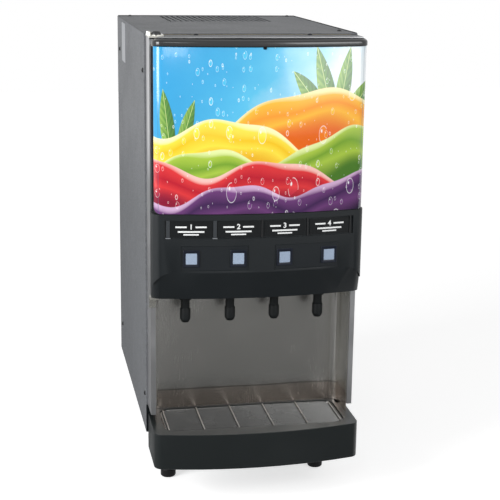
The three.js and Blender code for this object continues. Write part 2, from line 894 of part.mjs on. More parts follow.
function makeBathLid() {
  const plate = block([-bathHalfWidth, bathHalfWidth], [bathFrontY, bathRearY], [lidBottomZ, lidTopZ]);
  const hole = rodAlongZ(bath.shaftHole, 0, bathMiddleY, [lidBottomZ - cutOverrun, lidTopZ + cutOverrun]);
  return cut(plate, [hole]);
}

class HelixCurve extends THREE.Curve {
  getPoint(share, target = new THREE.Vector3()) {
    const turn = 2 * Math.PI * coil.turns * share;
    const reachX = bathHalfWidth - bath.wall - coil.wallGap - coil.tubeRadius;
    const reachY = bath.depth / 2 - bath.wall - coil.wallGap - coil.tubeRadius;
    const startZ = bathBottomZ + bath.wall + seatGap + coil.tubeRadius;
    return target.set(
      reachX * Math.cos(turn),
      bathMiddleY + reachY * Math.sin(turn),
      startZ + coil.pitch * coil.turns * share,
    );
  }
}

function makeEvaporatorCoil() {
  const section = new THREE.Shape();
  for (let side = 0; side < coil.sides; side += 1) {
    const angle = (2 * Math.PI * side) / coil.sides;
    const point = [coil.tubeRadius * Math.cos(angle), coil.tubeRadius * Math.sin(angle)];
    if (side === 0) section.moveTo(...point);
    else section.lineTo(...point);
  }
  section.closePath();
  return toSolid(new THREE.ExtrudeGeometry(section, {
    steps: coil.turns * coil.stepsPerTurn,
    extrudePath: new HelixCurve(),
    bevelEnabled: false,
  }));
}

function makeAgitatorMotor() {
  return turned([
    [0, 0],
    [agitator.flangeRadius, 0],
    [agitator.flangeRadius, agitator.flangeHeight],
    [agitator.motorRadius, agitator.flangeHeight],
    [agitator.motorRadius, agitator.motorHeight],
    [0, agitator.motorHeight],
  ], 0, bathMiddleY, lidTopZ + seatGap);
}

function makeAgitatorImpeller() {
  const bottomZ = bathBottomZ + bath.wall + agitator.bladeLift;
  const shaft = rodAlongZ(agitator.shaftRadius, 0, bathMiddleY, [bottomZ, lidTopZ]);
  const across = agitator.bladeCount / 2;
  const blades = [];
  for (let blade = 0; blade < across; blade += 1) {
    const span = 2 * agitator.bladeLength;
    const geometry = new THREE.BoxGeometry(span, agitator.bladeThickness, agitator.bladeHeight);
    geometry.rotateZ((Math.PI * blade) / across);
    geometry.translate(0, bathMiddleY, bottomZ + agitator.bladeHeight / 2);
    blades.push(toSolid(geometry));
  }
  return joined([shaft, ...blades]);
}

// Machine compartment
function legPlaces() {
  const x = halfWidth - leg.insetX;
  const frontY = cabinetFrontY + leg.frontInset;
  const rearY = cabinetRearY - leg.rearInset;
  return [
    { name: 'leg_front_left', x: -x, y: frontY },
    { name: 'leg_front_right', x, y: frontY },
    { name: 'leg_rear_left', x: -x, y: rearY },
    { name: 'leg_rear_right', x, y: rearY },
  ];
}

function makeLeg({ x, y }) {
  const topZ = legHeight - seatGap;
  return turned([
    [0, 0],
    [leg.padRadius - leg.chamfer, 0],
    [leg.padRadius, leg.chamfer],
    [leg.padRadius, leg.padHeight],
    [leg.waistRadius, leg.padHeight + leg.chamfer],
    [leg.topRadius, topZ - leg.topHeight],
    [leg.topRadius, topZ],
    [leg.studRadius, topZ],
    [leg.studRadius, legHeight + leg.studRise],
    [0, legHeight + leg.studRise],
  ], x, y, 0);
}

function makeCompressor() {
  const y = cabinetFrontY + compressor.setBack;
  const footZ = floorZ + seatGap + compressor.cushion;
  const bodyZ = footZ + compressor.footPlate;
  const body = turned([
    [0, -compressor.footPlate],
    [compressor.bodyRadius - compressor.shoulder, -compressor.footPlate],
    [compressor.bodyRadius, compressor.shoulder],
    [compressor.bodyRadius, compressor.bodyHeight - compressor.shoulder],
    [compressor.bodyRadius - compressor.shoulder, compressor.bodyHeight],
    [0, compressor.bodyHeight + compressor.crown],
  ], compressorX, y, bodyZ);
  const foot = centredBlock(
    compressorX, y, footZ, compressor.footWidth, compressor.footDepth, compressor.footPlate,
  );
  const spreadX = compressor.footWidth / 2 - compressor.cushionRadius;
  const spreadY = compressor.footDepth / 2 - compressor.cushionRadius;
  const cushions = [[-1, -1], [-1, 1], [1, -1], [1, 1]].map(([sideX, sideY]) => rodAlongZ(
    compressor.cushionRadius, compressorX + sideX * spreadX, y + sideY * spreadY,
    [floorZ + seatGap, footZ + compressor.footPlate / 2],
  ));
  const pipeX = compressorX + compressor.bodyRadius / 2;
  const pipeTop = bodyZ + compressor.bodyHeight + compressor.pipeRise;
  const pipe = rodAlongZ(compressor.pipeRadius, pipeX, y, [bodyZ + compressor.bodyHeight / 2, pipeTop]);
  return joined([body, foot, pipe, ...cushions]);
}

function makeCondenser() {
  const x0 = condenserX - condenser.width / 2;
  const y0 = cabinetFrontY + condenser.setBack;
  const y1 = y0 + condenser.depth;
  const z0 = floorZ + seatGap;
  const z = [z0, z0 + condenser.height];
  const core = block([x0, x0 + condenser.width], [y0 + condenser.finReach, y1 - condenser.finReach], z);
  const count = Math.floor(condenser.width / condenser.finPitch);
  const pitch = (condenser.width - condenser.finThickness) / count;
  const fins = [];
  for (let fin = 0; fin <= count; fin += 1) {
    const x = x0 + fin * pitch;
    fins.push(block([x, x + condenser.finThickness], [y0, y1], z));
  }
  return joined([core, ...fins]);
}

const shroudFrontY = cabinetFrontY + condenser.setBack + condenser.depth + seatGap;
const shroudRearY = shroudFrontY + shroud.depth;
const fanZ = floorZ + seatGap + condenser.height / 2;

function makeFanShroud() {
  const x0 = condenserX - condenser.width / 2;
  const x1 = condenserX + condenser.width / 2;
  const z = [floorZ + seatGap, floorZ + seatGap + condenser.height];
  const body = block([x0, x1], [shroudFrontY, shroudRearY], z);
  const bore = rodAlongY(
    shroudBoreRadius, condenserX,
    [shroudFrontY - cutOverrun, shroudRearY + cutOverrun], fanZ, roundFacets,
  );
  const bar = block(
    [x0, x1],
    [shroudRearY - shroud.bar, shroudRearY],
    [fanZ - shroud.barHeight / 2, fanZ + shroud.barHeight / 2],
  );
  const shaftHole = rodAlongY(
    shroud.shaftHole, condenserX,
    [shroudRearY - shroud.bar - cutOverrun, shroudRearY + cutOverrun], fanZ,
  );
  return cut(cut(body, [bore]).add(bar), [shaftHole]);
}

function makeCondenserFan() {
  const hubY = shroudFrontY + shroud.bladeSetBack - fan.hubDepth / 2;
  const hub = rodAlongY(fan.hubRadius, condenserX, [hubY, hubY + fan.hubDepth], fanZ, roundFacets);
  const shaft = rodAlongY(fan.shaftRadius, condenserX, [hubY + fan.hubDepth / 2, shroudRearY], fanZ);
  const bladeLength = fanTipRadius - fan.hubRadius / 2;
  const blades = [];
  for (let blade = 0; blade < fan.blades; blade += 1) {
    const geometry = new THREE.BoxGeometry(fan.bladeDepth, fan.bladeThickness, bladeLength);
    geometry.rotateZ(fanPitch);
    geometry.translate(0, 0, fan.hubRadius / 2 + bladeLength / 2);
    geometry.rotateY((2 * Math.PI * blade) / fan.blades);
    geometry.translate(condenserX, hubY + fan.hubDepth / 2, fanZ);
    blades.push(toSolid(geometry));
  }
  return joined([hub, shaft, ...blades]);
}

function makeFanMotor() {
  return rodAlongY(
    fanMotor.radius, condenserX,
    [shroudRearY + seatGap, shroudRearY + seatGap + fanMotor.depth], fanZ, roundFacets,
  );
}

// Drives and electrics behind the compartment
const rearFoamY = linerRearY + compartment.rearFoam + seatGap;

// Four geared motors on one rail
function makePumpDrives() {
  const railRear = rearFoamY + pump.rail;
  const reachX = flavourX(flavourCount - 1) + pump.gearSize / 2 + pump.railEdge;
  const reachZ = pump.gearSize / 2 + pump.railEdge;
  const rail = block([-reachX, reachX], [rearFoamY, railRear], [pump.z - reachZ, pump.z + reachZ]);
  const motors = flavourNumbers.map((number, index) => {
    const x = flavourX(index);
    const gearRear = railRear + pump.gearDepth;
    const gear = block(
      [x - pump.gearSize / 2, x + pump.gearSize / 2],
      [rearFoamY, gearRear],
      [pump.z - pump.gearSize / 2, pump.z + pump.gearSize / 2],
    );
    return gear.add(rodAlongY(pump.canRadius, x, [gearRear - cutOverrun, gearRear + pump.canDepth], pump.z));
  });
  return joined([rail, ...motors]);
}

function makeControlBoard() {
  const rearY = cabinetRearY - 2 * panelSheet - 2 * seatGap;
  const plateY = [rearY - board.standoff - board.thickness, rearY - board.standoff];
  const plate = block(
    [board.x - board.width / 2, board.x + board.width / 2], plateY, [board.z, board.z + board.height],
  );
  const spreadX = board.width / 2 - board.corner;
  const spreadZ = board.height / 2 - board.corner;
  const middleZ = board.z + board.height / 2;
  const standoffs = [[-1, -1], [-1, 1], [1, -1], [1, 1]].map(([sideX, sideZ]) => rodAlongY(
    board.standoffRadius, board.x + sideX * spreadX, [plateY[0], rearY], middleZ + sideZ * spreadZ,
  ));
  const parts = [];
  for (let relay = 0; relay < board.relayCount; relay += 1) {
    const x = board.x + (relay - (board.relayCount - 1) / 2) * board.relayPitch;
    parts.push(centredBlock(
      x, plateY[0] - board.relayDepth / 2 + board.thickness / 2, middleZ,
      board.relay, board.relayDepth, board.relay,
    ));
  }
  parts.push(centredBlock(
    board.x, plateY[0] - board.chipDepth / 2 + board.thickness / 2, board.z + board.corner,
    board.chipWidth, board.chipDepth, board.chipHeight,
  ));
  return joined([plate, ...standoffs, ...parts]);
}

// Rear connections
function makeWaterInlet() {
  const panelY = cabinetRearY - panelSheet - seatGap;
  const stub = rodAlongY(
    waterInlet.radius, waterInlet.x,
    [panelY - waterInlet.inward, cabinetRearY + inletReach], waterInlet.z, roundFacets,
  );
  const flangeY = panelY + seatGap;
  const flange = rodAlongY(
    waterInlet.flangeRadius, waterInlet.x, [flangeY, flangeY + waterInlet.flange], waterInlet.z, roundFacets,
  );
  const bore = rodAlongY(
    waterInlet.boreRadius, waterInlet.x,
    [panelY, cabinetRearY + inletReach + cutOverrun], waterInlet.z,
  );
  return cut(stub.add(flange), [bore]);
}

function makePowerInlet() {
  const flangeY = cabinetRearY - panelSheet;
  const body = block(
    [powerInlet.x - powerInlet.bodyWidth / 2, powerInlet.x + powerInlet.bodyWidth / 2],
    [flangeY - powerInlet.inward, flangeY + powerInlet.flange / 2],
    [powerInlet.z - powerInlet.bodyHeight / 2, powerInlet.z + powerInlet.bodyHeight / 2],
  );
  const flange = block(
    [powerInlet.x - powerInlet.width / 2, powerInlet.x + powerInlet.width / 2],
    [flangeY, flangeY + powerInlet.flange],
    [powerInlet.z - powerInlet.height / 2, powerInlet.z + powerInlet.height / 2],
  );
  const socket = block(
    [powerInlet.x - powerInlet.socketWidth / 2, powerInlet.x + powerInlet.socketWidth / 2],
    [flangeY - powerInlet.socketDepth, flangeY + powerInlet.flange + cutOverrun],
    [powerInlet.z - powerInlet.socketHeight / 2, powerInlet.z + powerInlet.socketHeight / 2],
  );
  return cut(body.add(flange), [socket]);
}

// Door
function doorBack(inset) {
  return [[doorOutline.halfWidth - inset, doorBackY - seatGap]];
}

function doorShell(z) {
  const outer = raised(bowedOutline(doorOutline, 0, doorBack(0)), z);
  const inner = raised(
    bowedOutline(doorOutline, door.shell, [[doorOutline.halfWidth - door.shell, doorBackY + cutOverrun]]),
    [z[0] - cutOverrun, z[1] + cutOverrun],
  );
  return cut(outer, [inner]);
}

function makeDoorFrame() {
  const x = panHalfWidth;
  const z = [door.bottomZ + door.shell + seatGap, doorTopZ];
  const outer = block([-x, x], [panFrontY, doorBackY], z);
  const inside = block(
    [-x + door.panSheet, x - door.panSheet],
    [panFrontY + door.panSheet, doorBackY + cutOverrun],
    [z[0] + door.panSheet, z[1] - door.panSheet],
  );
  const pinHoles = rodAlongZ(
    hinge.pinRadius + hinge.pinPlay, hingeX, hingeY,
    [z[0] - cutOverrun, z[1] + cutOverrun],
  );
  return cut(outer, [inside, pinHoles]);
}

function panInside(gap) {
  const inset = door.panSheet + gap;
  return {
    x: [-panHalfWidth + inset, panHalfWidth - inset],
    z: [door.bottomZ + door.shell + seatGap + inset, doorTopZ - inset],
  };
}

function pinWells() {
  const radius = hinge.pinRadius + hinge.pinPlay;
  const depth = hinge.pinReach + 2 * cutOverrun;
  return [
    rodAlongZ(radius + seatGap, hingeX, hingeY, [door.bottomZ, door.bottomZ + depth]),
    rodAlongZ(radius + seatGap, hingeX, hingeY, [doorTopZ - depth, doorTopZ]),
  ];
}

function makeDoorLiner() {
  const { x, z } = panInside(seatGap);
  const core = block(x, [panFrontY + door.panSheet + seatGap, doorBackY], z);
  const plug = block(
    [x[0] + linerPlug.inset, x[1] - linerPlug.inset],
    [doorBackY - cutOverrun, doorBackY + linerPlug.rise],
    [z[0] + linerPlug.inset, z[1] - linerPlug.inset],
  );
  return cut(core.add(plug), pinWells());
}

function makeDoorGasket() {
  const outerX = frameHalfWidth - seal.inset;
  const outerZ = [door.bottomZ + door.shell + seatGap + seal.inset - door.shell, doorTopZ - seal.inset];
  const y = [doorBackY + seatGap, doorBackY + seatGap + sealThickness];
  const ring = block([-outerX, outerX], y, outerZ);
  const middle = block(
    [-outerX + seal.width, outerX - seal.width],
    [y[0] - cutOverrun, y[1] + cutOverrun],
    [outerZ[0] + seal.width, outerZ[1] - seal.width],
  );
  return cut(ring, [middle]);
}

function makeGraphicPanel() {
  return doorShell([door.fasciaTopZ + seatGap, frame.topZ - door.trimHeight - seatGap]);
}

function makeTopTrim() {
  const outline = {
    ...doorOutline,
    halfWidth: doorOutline.halfWidth + door.trimSideLead,
    frontY: doorFrontY - door.trimLead,
    bowRadius: door.bowRadius + door.trimLead,
    cornerRadius: door.cornerRadius + door.trimSideLead,
  };
  const backY = doorBackY - door.trimBackGap;
  const z = [frame.topZ - door.trimHeight, frame.topZ];
  const outer = raised(bowedOutline(outline, 0, [[outline.halfWidth, backY]]), z);
  const pan = block(
    [-panHalfWidth - seatGap, panHalfWidth + seatGap],
    [panFrontY - seatGap, backY + cutOverrun],
    [z[0] - cutOverrun, z[1] + cutOverrun],
  );
  return cut(outer, [pan]);
}

// The face under the operating panel leans back along the bow and ends in a curve at each side
function fasciaUndercut() {
  const topZ = door.bottomZ + fascia.undercutRise;
  const bottomOutline = { ...doorOutline, frontY: doorFrontY + fascia.undercutDepth };
  const corners = [[doorOutline, topZ], [bottomOutline, door.bottomZ]].flatMap(([outline, z]) => (
    bowedOutline(outline, 0, doorBack(0)).getPoints(arcFacets).map(({ x, y }) => new THREE.Vector3(x, y, z))
  ));
  const kept = toSolid(new ConvexGeometry(corners));
  const halfSpan = frameHalfWidth + cutOverrun;
  const region = sweptAlongY(
    roundedRectangle(
      [-halfSpan, halfSpan],
      [door.bottomZ - cutOverrun - fascia.undercutCorner, topZ],
      fascia.undercutCorner,
    ),
    [doorFrontY - cutOverrun, doorBackY - seatGap],
  );
  return region.subtract(kept);
}

function keypadTurn(side) {
  return side * Math.asin(keypadX / door.bowRadius);
}

// A block square to the door's face at a keypad, given in the keypad's own frame
function keypadBlock(side, [x0, x1], [y0, y1], [z0, z1]) {
  const geometry = new THREE.BoxGeometry(x1 - x0, y1 - y0, z1 - z0);
  geometry.translate((x0 + x1) / 2, (y0 + y1) / 2, (z0 + z1) / 2);
  geometry.rotateZ(keypadTurn(side));
  geometry.translate(side * keypadX, doorFaceY(keypadX), keypad.z);
  return toSolid(geometry);
}

function keypadOutline(gap) {
  const x = keypadWidth / 2 - gap;
  const z = keypad.height / 2 - gap;
  return { x: [-x, x], z: [-z, z] };
}

function makeFascia() {
  const z = [door.bottomZ, door.fasciaTopZ];
  const outer = cut(
    raised(bowedOutline(doorOutline, 0, doorBack(0)), z),
    [fasciaUndercut()],
  );
  const cavityZ = [door.bottomZ + fascia.bottomWall, door.fasciaTopZ + cutOverrun];
  const panSpace = block(
    [-panHalfWidth - seatGap, panHalfWidth + seatGap],
    [panFrontY - seatGap, doorBackY + cutOverrun],
    cavityZ,
  );
  const cavity = raised(
    bowedOutline(doorOutline, fasciaWall(), [[doorOutline.halfWidth - fasciaWall(), doorBackY + cutOverrun]]),
    [door.bottomZ + fascia.undercutRise, door.fasciaTopZ + cutOverrun],
  );
  const labelCut = bowedPlate(
    [-labelRecessHalfWidth, labelRecessHalfWidth],
    [labelRecess.bottomZ, labelRecess.topZ],
    [-cutOverrun, fascia.recessDepth],
  );
  const keypadCuts = [-1, 1].map((side) => {
    const { x, z: span } = keypadOutline(0);
    return keypadBlock(side, x, [-keypad.recess - cutOverrun, keypad.recess], span);
  });
  const throughCuts = [-1, 1].flatMap((side) => [-1, 1].map((place) => {
    const reach = button.size / 2 + button.flange + button.play;
    const x = place * flavourPitch / 2;
    return keypadBlock(
      side, [x - reach, x + reach], [-keypad.recess, fasciaWall() + 2 * cutOverrun], [-reach, reach],
    );
  }));
  const pinHole = rodAlongZ(
    hinge.pinRadius + hinge.pinPlay, hingeX, hingeY,
    [door.bottomZ - cutOverrun, door.bottomZ + fascia.bottomWall + cutOverrun],
  );
  return cut(outer, [panSpace, cavity, labelCut, pinHole, ...keypadCuts, ...throughCuts]);
}

function fasciaWall() {
  return fascia.recessDepth + fascia.backWall;
}

function makeLabelCard(index) {
  const depth = fascia.recessDepth - seatGap;
  const middleZ = (labelRecess.bottomZ + labelRecess.topZ) / 2;
  return bowedPlate(
    [flavourX(index) - labelWidth / 2, flavourX(index) + labelWidth / 2],
    [middleZ - label.height / 2, middleZ + label.height / 2],
    [depth - label.thickness, depth],
  );
}

function makeKeypad(side) {
  const { x, z } = keypadOutline(keypad.bodyGap);
  const back = keypad.recess - seatGap;
  const plate = keypadBlock(side, x, [back - keypad.plate, back], z);
  const openings = [-1, 1].map((place) => {
    const reach = button.size / 2 + button.play;
    const centre = place * flavourPitch / 2;
    return keypadBlock(
      side, [centre - reach, centre + reach],
      [back - keypad.plate - cutOverrun, back + cutOverrun], [-reach, reach],
    );
  });
  return cut(plate, openings);
}

function makeButton(side, place) {
  const centre = place * flavourPitch / 2;
  const half = button.size / 2;
  const plateBack = keypad.recess - seatGap;
  const front = plateBack - keypad.plate - button.proud;
  const flangeFront = plateBack + seatGap;
  const flangeBack = flangeFront + button.flangeThickness;
  const cap = keypadBlock(side, [centre - half, centre + half], [front, flangeBack], [-half, half]);
  const reach = half + button.flange;
  const flange = keypadBlock(
    side, [centre - reach, centre + reach], [flangeFront, flangeBack], [-reach, reach],
  );
  return cap.add(flange);
}

function makeButtonBoard() {
  const x = panHalfWidth - buttonBoard.sideGap;
  const z = [keypad.z - buttonBoard.height / 2, keypad.z + buttonBoard.height / 2];
  return block([-x, x], [panFrontY - seatGap - buttonBoard.thickness, panFrontY - seatGap], z);
}

const hingePlateLeftX = -frameHalfWidth - hinge.plateSideLead;
const hingePlateX = [hingePlateLeftX, hingePlateLeftX + hinge.plateWidth];
const hingePlateFrontY = hingeY - hinge.plateFront;
const hingePlateTopZ = frame.topZ + seatGap + hinge.plate;
const hingeSeatX = [hingePlateX[0], hingePlateX[0] + hinge.seatWidth];
const hingeSeatY = [
  hingePlateFrontY + hinge.upperLength - hinge.seatLength,
  hingePlateFrontY + hinge.upperLength,
];

function makeUpperHingeBracket() {
  const z = [frame.topZ + seatGap, hingePlateTopZ];
  const bolts = [0, 1].map((place) => rodAlongZ(
    hinge.boltRadius, hingePlateX[0] + hinge.boltInset,
    hingeSeatY[1] - hinge.boltInset - place * hinge.boltPitch,
    [z[0], hingePlateTopZ + hinge.boltHead], hexFacets,
  ));
  return joined([
    block(hingePlateX, [hingePlateFrontY, hingeSeatY[1]], z),
    block(hingeSeatX, hingeSeatY, z),
    rodAlongZ(hinge.pinRadius, hingeX, hingeY, [doorTopZ - hinge.pinReach, hingePlateTopZ + hinge.plate / 2]),
    ...bolts,
  ]);
}

function makeHingeCap() {
  const x1 = hingeSeatX[1] + hingeCap.sideLead;
  const y0 = hingeSeatY[0] + hingeCap.frontGap;
  const bottomZ = hingePlateTopZ + seatGap;
  const shoulderZ = bottomZ + hingeCap.height - hingeCap.crown;
  const outlineAt = (inset) => roundedRectangle(
    [x1 - hingeCap.width + inset, x1 - inset],
    [y0 + inset, y0 + hingeCap.depth - inset],
    hingeCap.depth / 2 - inset - seatGap,
  );
  const corners = [[0, bottomZ], [0, shoulderZ], [hingeCap.crown, bottomZ + hingeCap.height]].flatMap(
    ([inset, z]) => outlineAt(inset).getPoints(arcFacets).map(({ x, y }) => new THREE.Vector3(x, y, z)),
  );
  return toSolid(new ConvexGeometry(corners));
}

function makeLowerHingeBracket() {
  const lowerZ = door.bottomZ - seatGap - hinge.plate;
  return joined([
    block(hingePlateX, [hingePlateFrontY, frameFrontY - seatGap], [lowerZ, lowerZ + hinge.plate]),
    block(
      [hingePlateX[0], -frameHalfWidth + frame.flange],
      [frameFrontY - seatGap - hinge.plate / 2, frameFrontY - seatGap],
      [lowerZ - hinge.lowerTab, lowerZ + hinge.plate],
    ),
    rodAlongZ(hinge.pinRadius, hingeX, hingeY, [lowerZ, door.bottomZ + hinge.pinReach]),
  ]);
}

// Assembly
const dispenser = new THREE.Group();
dispenser.name = 'cold_beverage_dispenser';

function addPart(name, solid, finish) {
  const mesh = new THREE.Mesh(toGeometry(solid), new THREE.MeshStandardMaterial(finish));
  mesh.name = name;
  dispenser.add(mesh);
}

addPart('base_pan', makeBasePan(), galvanised);
addPart('left_side_panel', makeSidePanel(-1), hammeredGrey);
addPart('right_side_panel', makeSidePanel(1), hammeredGrey);
addPart('top_panel', makeTopPanel(), hammeredGrey);
addPart('rear_panel', makeRearPanel(), galvanised);
addPart('equipment_shelf', makeShelf(), galvanised);
addPart('front_frame', makeFrontFrame(), stainless);
addPart('lower_front_panel', makeLowerFrontPanel(), plasticBlack);
addPart('upper_hinge_bracket', makeUpperHingeBracket(), zinc);
addPart('lower_hinge_bracket', makeLowerHingeBracket(), zinc);
addPart('splash_panel', makeSplashPanel(), stainless);
addPart('dispense_deck', makeDispenseDeck(), stainless);
addPart('compartment_liner', makeCompartmentLiner(), linerWhite);
addPart('cabinet_insulation', makeCabinetInsulation(), foamCream);
addPart('water_bath_tank', makeBathTank(), stainless);
addPart('water_bath_lid', makeBathLid(), linerWhite);
addPart('evaporator_coil', makeEvaporatorCoil(), copper);
addPart('agitator_motor', makeAgitatorMotor(), galvanised);
addPart('agitator_impeller', makeAgitatorImpeller(), stainless);
addPart('compressor', makeCompressor(), enamelBlack);
addPart('condenser', makeCondenser(), aluminium);
addPart('fan_shroud', makeFanShroud(), plasticBlack);
addPart('fan_motor', makeFanMotor(), galvanised);
addPart('condenser_fan', makeCondenserFan(), aluminium);
addPart('pump_drives', makePumpDrives(), galvanised);
addPart('control_board', makeControlBoard(), boardGreen);
addPart('water_inlet_fitting', makeWaterInlet(), brass);
addPart('power_inlet', makePowerInlet(), plasticBlack);

flavourNumbers.forEach((number, index) => {
  addPart(`concentrate_container_${number}`, makeContainer(index), bottleWhite);
  addPart(`nozzle_${number}`, makeNozzle(index), plasticBlack);
  addPart(`label_card_${number}`, makeLabelCard(index), labelBlack);
});

legPlaces().forEach((place) => addPart(place.name, makeLeg(place), rubberBlack));

addPart('drip_tray', makeDripTray(), plasticBlack);
addPart('drip_grille', makeDripGrille(), chrome);

addPart('door_frame', makeDoorFrame(), hammeredGrey);
addPart('door_liner', makeDoorLiner(), linerWhite);
addPart('door_gasket', makeDoorGasket(), sealGrey);
addPart('graphic_panel', makeGraphicPanel(), printBlue);
addPart('top_trim', makeTopTrim(), glossBlack);
addPart('fascia', makeFascia(), plasticBlack);
addPart('button_board', makeButtonBoard(), boardGreen);
addPart('hinge_cap', makeHingeCap(), plasticBlack);
addPart('keypad_left', makeKeypad(-1), keypadBlue);
addPart('keypad_right', makeKeypad(1), keypadBlue);
[[-1, -1], [-1, 1], [1, -1], [1, 1]].forEach(([side, place], index) => {
  addPart(`dispense_button_${index + 1}`, makeButton(side, place), lensBlue);
});

export default dispenser;
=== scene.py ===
"""Looks of a countertop cold beverage dispenser with four nozzles.

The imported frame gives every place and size. Here each of its pieces gets its finish, and the pieces whose edges
show are rebuilt with rounded edges and fine detail. Units are metres. X runs to the right seen from the front, Y to
the rear and Z up.
"""
import logging
import math
from collections.abc import Callable, Iterable, Sequence
from dataclasses import dataclass
from enum import Enum

import bmesh
import bpy
from mathutils import Matrix, Vector


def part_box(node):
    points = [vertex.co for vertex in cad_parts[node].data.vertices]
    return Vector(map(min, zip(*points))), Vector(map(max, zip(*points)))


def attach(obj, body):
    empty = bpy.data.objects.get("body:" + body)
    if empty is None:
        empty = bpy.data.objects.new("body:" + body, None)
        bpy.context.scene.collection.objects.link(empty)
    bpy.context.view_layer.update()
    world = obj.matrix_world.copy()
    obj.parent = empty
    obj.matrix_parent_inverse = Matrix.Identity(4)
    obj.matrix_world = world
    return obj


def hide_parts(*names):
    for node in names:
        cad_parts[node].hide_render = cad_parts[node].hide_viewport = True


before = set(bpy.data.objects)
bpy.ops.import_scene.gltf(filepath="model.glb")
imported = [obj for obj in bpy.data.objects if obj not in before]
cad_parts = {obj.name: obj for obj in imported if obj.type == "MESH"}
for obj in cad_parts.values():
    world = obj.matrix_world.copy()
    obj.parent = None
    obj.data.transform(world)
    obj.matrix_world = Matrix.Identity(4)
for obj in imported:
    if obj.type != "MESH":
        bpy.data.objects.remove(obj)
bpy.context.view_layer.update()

LOG = logging.getLogger("dispenser")

MM = 0.001
WELD = 1e-5
Triple = tuple[float, float, float]
Pair = tuple[float, float]


# Small helpers


def mm(*lengths: float) -> tuple[float, ...]:
    """Returns the given millimetres in metres."""
    return tuple(length * MM for length in lengths)


def linear(red: float, green: float, blue: float) -> tuple[float, float, float, float]:
    """Turns a screen colour into the linear colour that shaders take.

    Args:
        red, green, blue: screen values from 0 to 255.

    Returns:
        The linear colour with full alpha.
    """
    def channel(value: float) -> float:
        """Returns one channel in linear light."""
        share = value / 255
        return share / 12.92 if share <= 0.04045 else ((share + 0.055) / 1.055) ** 2.4
    return channel(red), channel(green), channel(blue), 1.0


def scaled(colour: Sequence[float], share: float) -> tuple[float, float, float, float]:
    """Returns a linear colour made darker or lighter by a share."""
    return min(1, colour[0] * share), min(1, colour[1] * share), min(1, colour[2] * share), 1.0


# Node trees


class Graph:
    """Writes nodes, their sockets and their links into one node tree."""

    def __init__(self, tree: bpy.types.NodeTree) -> None:
        """Keeps the tree that the nodes go into."""
        self.tree = tree

    def add(self, kind: str, sockets: dict | None = None, **settings: object) -> bpy.types.Node:
        """Adds a node.

        Args:
            kind: the node's type name.
            sockets: values or sockets, by input name or index.
            settings: the node's own properties.

        Returns:
            The new node.
        """
        node = self.tree.nodes.new(kind)
        for name, value in settings.items():
            setattr(node, name, value)
        for key, value in (sockets or {}).items():
            self.feed(node.inputs[key], value)
        return node

    def feed(self, socket: bpy.types.NodeSocket, value: object) -> None:
        """Links a socket to another, or sets its value."""
        if isinstance(value, bpy.types.NodeSocket):
            self.tree.links.new(value, socket)
        else:
            socket.default_value = value

    def math(self, operation: str, first: object, second: object = 0.0, third: object = 0.0) -> bpy.types.NodeSocket:
        """Returns the result of one arithmetic step."""
        node = self.add("ShaderNodeMath", {0: first, 1: second, 2: third}, operation=operation)
        return node.outputs[0]

    def remap(self, value: object, low: float, high: float, to: Pair = (0.0, 1.0)) -> bpy.types.NodeSocket:
        """Returns a value moved smoothly from one range to another, clamped at both ends."""
        node = self.add(
            "ShaderNodeMapRange",
            {"Value": value, "From Min": low, "From Max": high, "To Min": to[0], "To Max": to[1]},
            interpolation_type="SMOOTHSTEP",
        )
        return node.outputs[0]

    def blend(self, factor: object, first: object, second: object, mode: str = "MIX") -> bpy.types.NodeSocket:
        """Returns two colours mixed by a factor."""
        node = self.add("ShaderNodeMix", data_type="RGBA", blend_type=mode)
        self.feed(node.inputs[0], factor)
        self.feed(node.inputs[6], first)
        self.feed(node.inputs[7], second)
        return node.outputs[2]

    def noise(self, vector: object, scale: float, detail: float = 3.0) -> bpy.types.NodeSocket:
        """Returns fractal noise from 0 to 1."""
        return self.add("ShaderNodeTexNoise", {"Vector": vector, "Scale": scale, "Detail": detail}).outputs[0]

    def ramp(self, factor: object, stops: Sequence[tuple[float, Sequence[float]]]) -> bpy.types.NodeSocket:
        """Returns the colour of a ramp with the given stops."""
        node = self.add("ShaderNodeValToRGB", {0: factor})
        elements = node.color_ramp.elements
        while len(elements) < len(stops):
            elements.new(0.5)
        for element, (place, colour) in zip(elements, stops):
            element.position = place
            element.color = colour
        return node.outputs[0]

    def split(self, vector: object) -> tuple[bpy.types.NodeSocket, ...]:
        """Returns the three parts of a vector."""
        return tuple(self.add("ShaderNodeSeparateXYZ", {0: vector}).outputs)

    def join(self, x: object = 0.0, y: object = 0.0, z: object = 0.0) -> bpy.types.NodeSocket:
        """Returns a vector made of three parts."""
        return self.add("ShaderNodeCombineXYZ", {0: x, 1: y, 2: z}).outputs[0]

    def multiply(self, first: object, second: object) -> bpy.types.NodeSocket:
        """Returns two vectors multiplied part by part."""
        return self.add("ShaderNodeVectorMath", {0: first, 1: second}, operation="MULTIPLY").outputs[0]


class SocketKind(Enum):
    """Kinds of socket on a shared group."""

    NUMBER = "NodeSocketFloat"
    VECTOR = "NodeSocketVector"
    COLOUR = "NodeSocketColor"


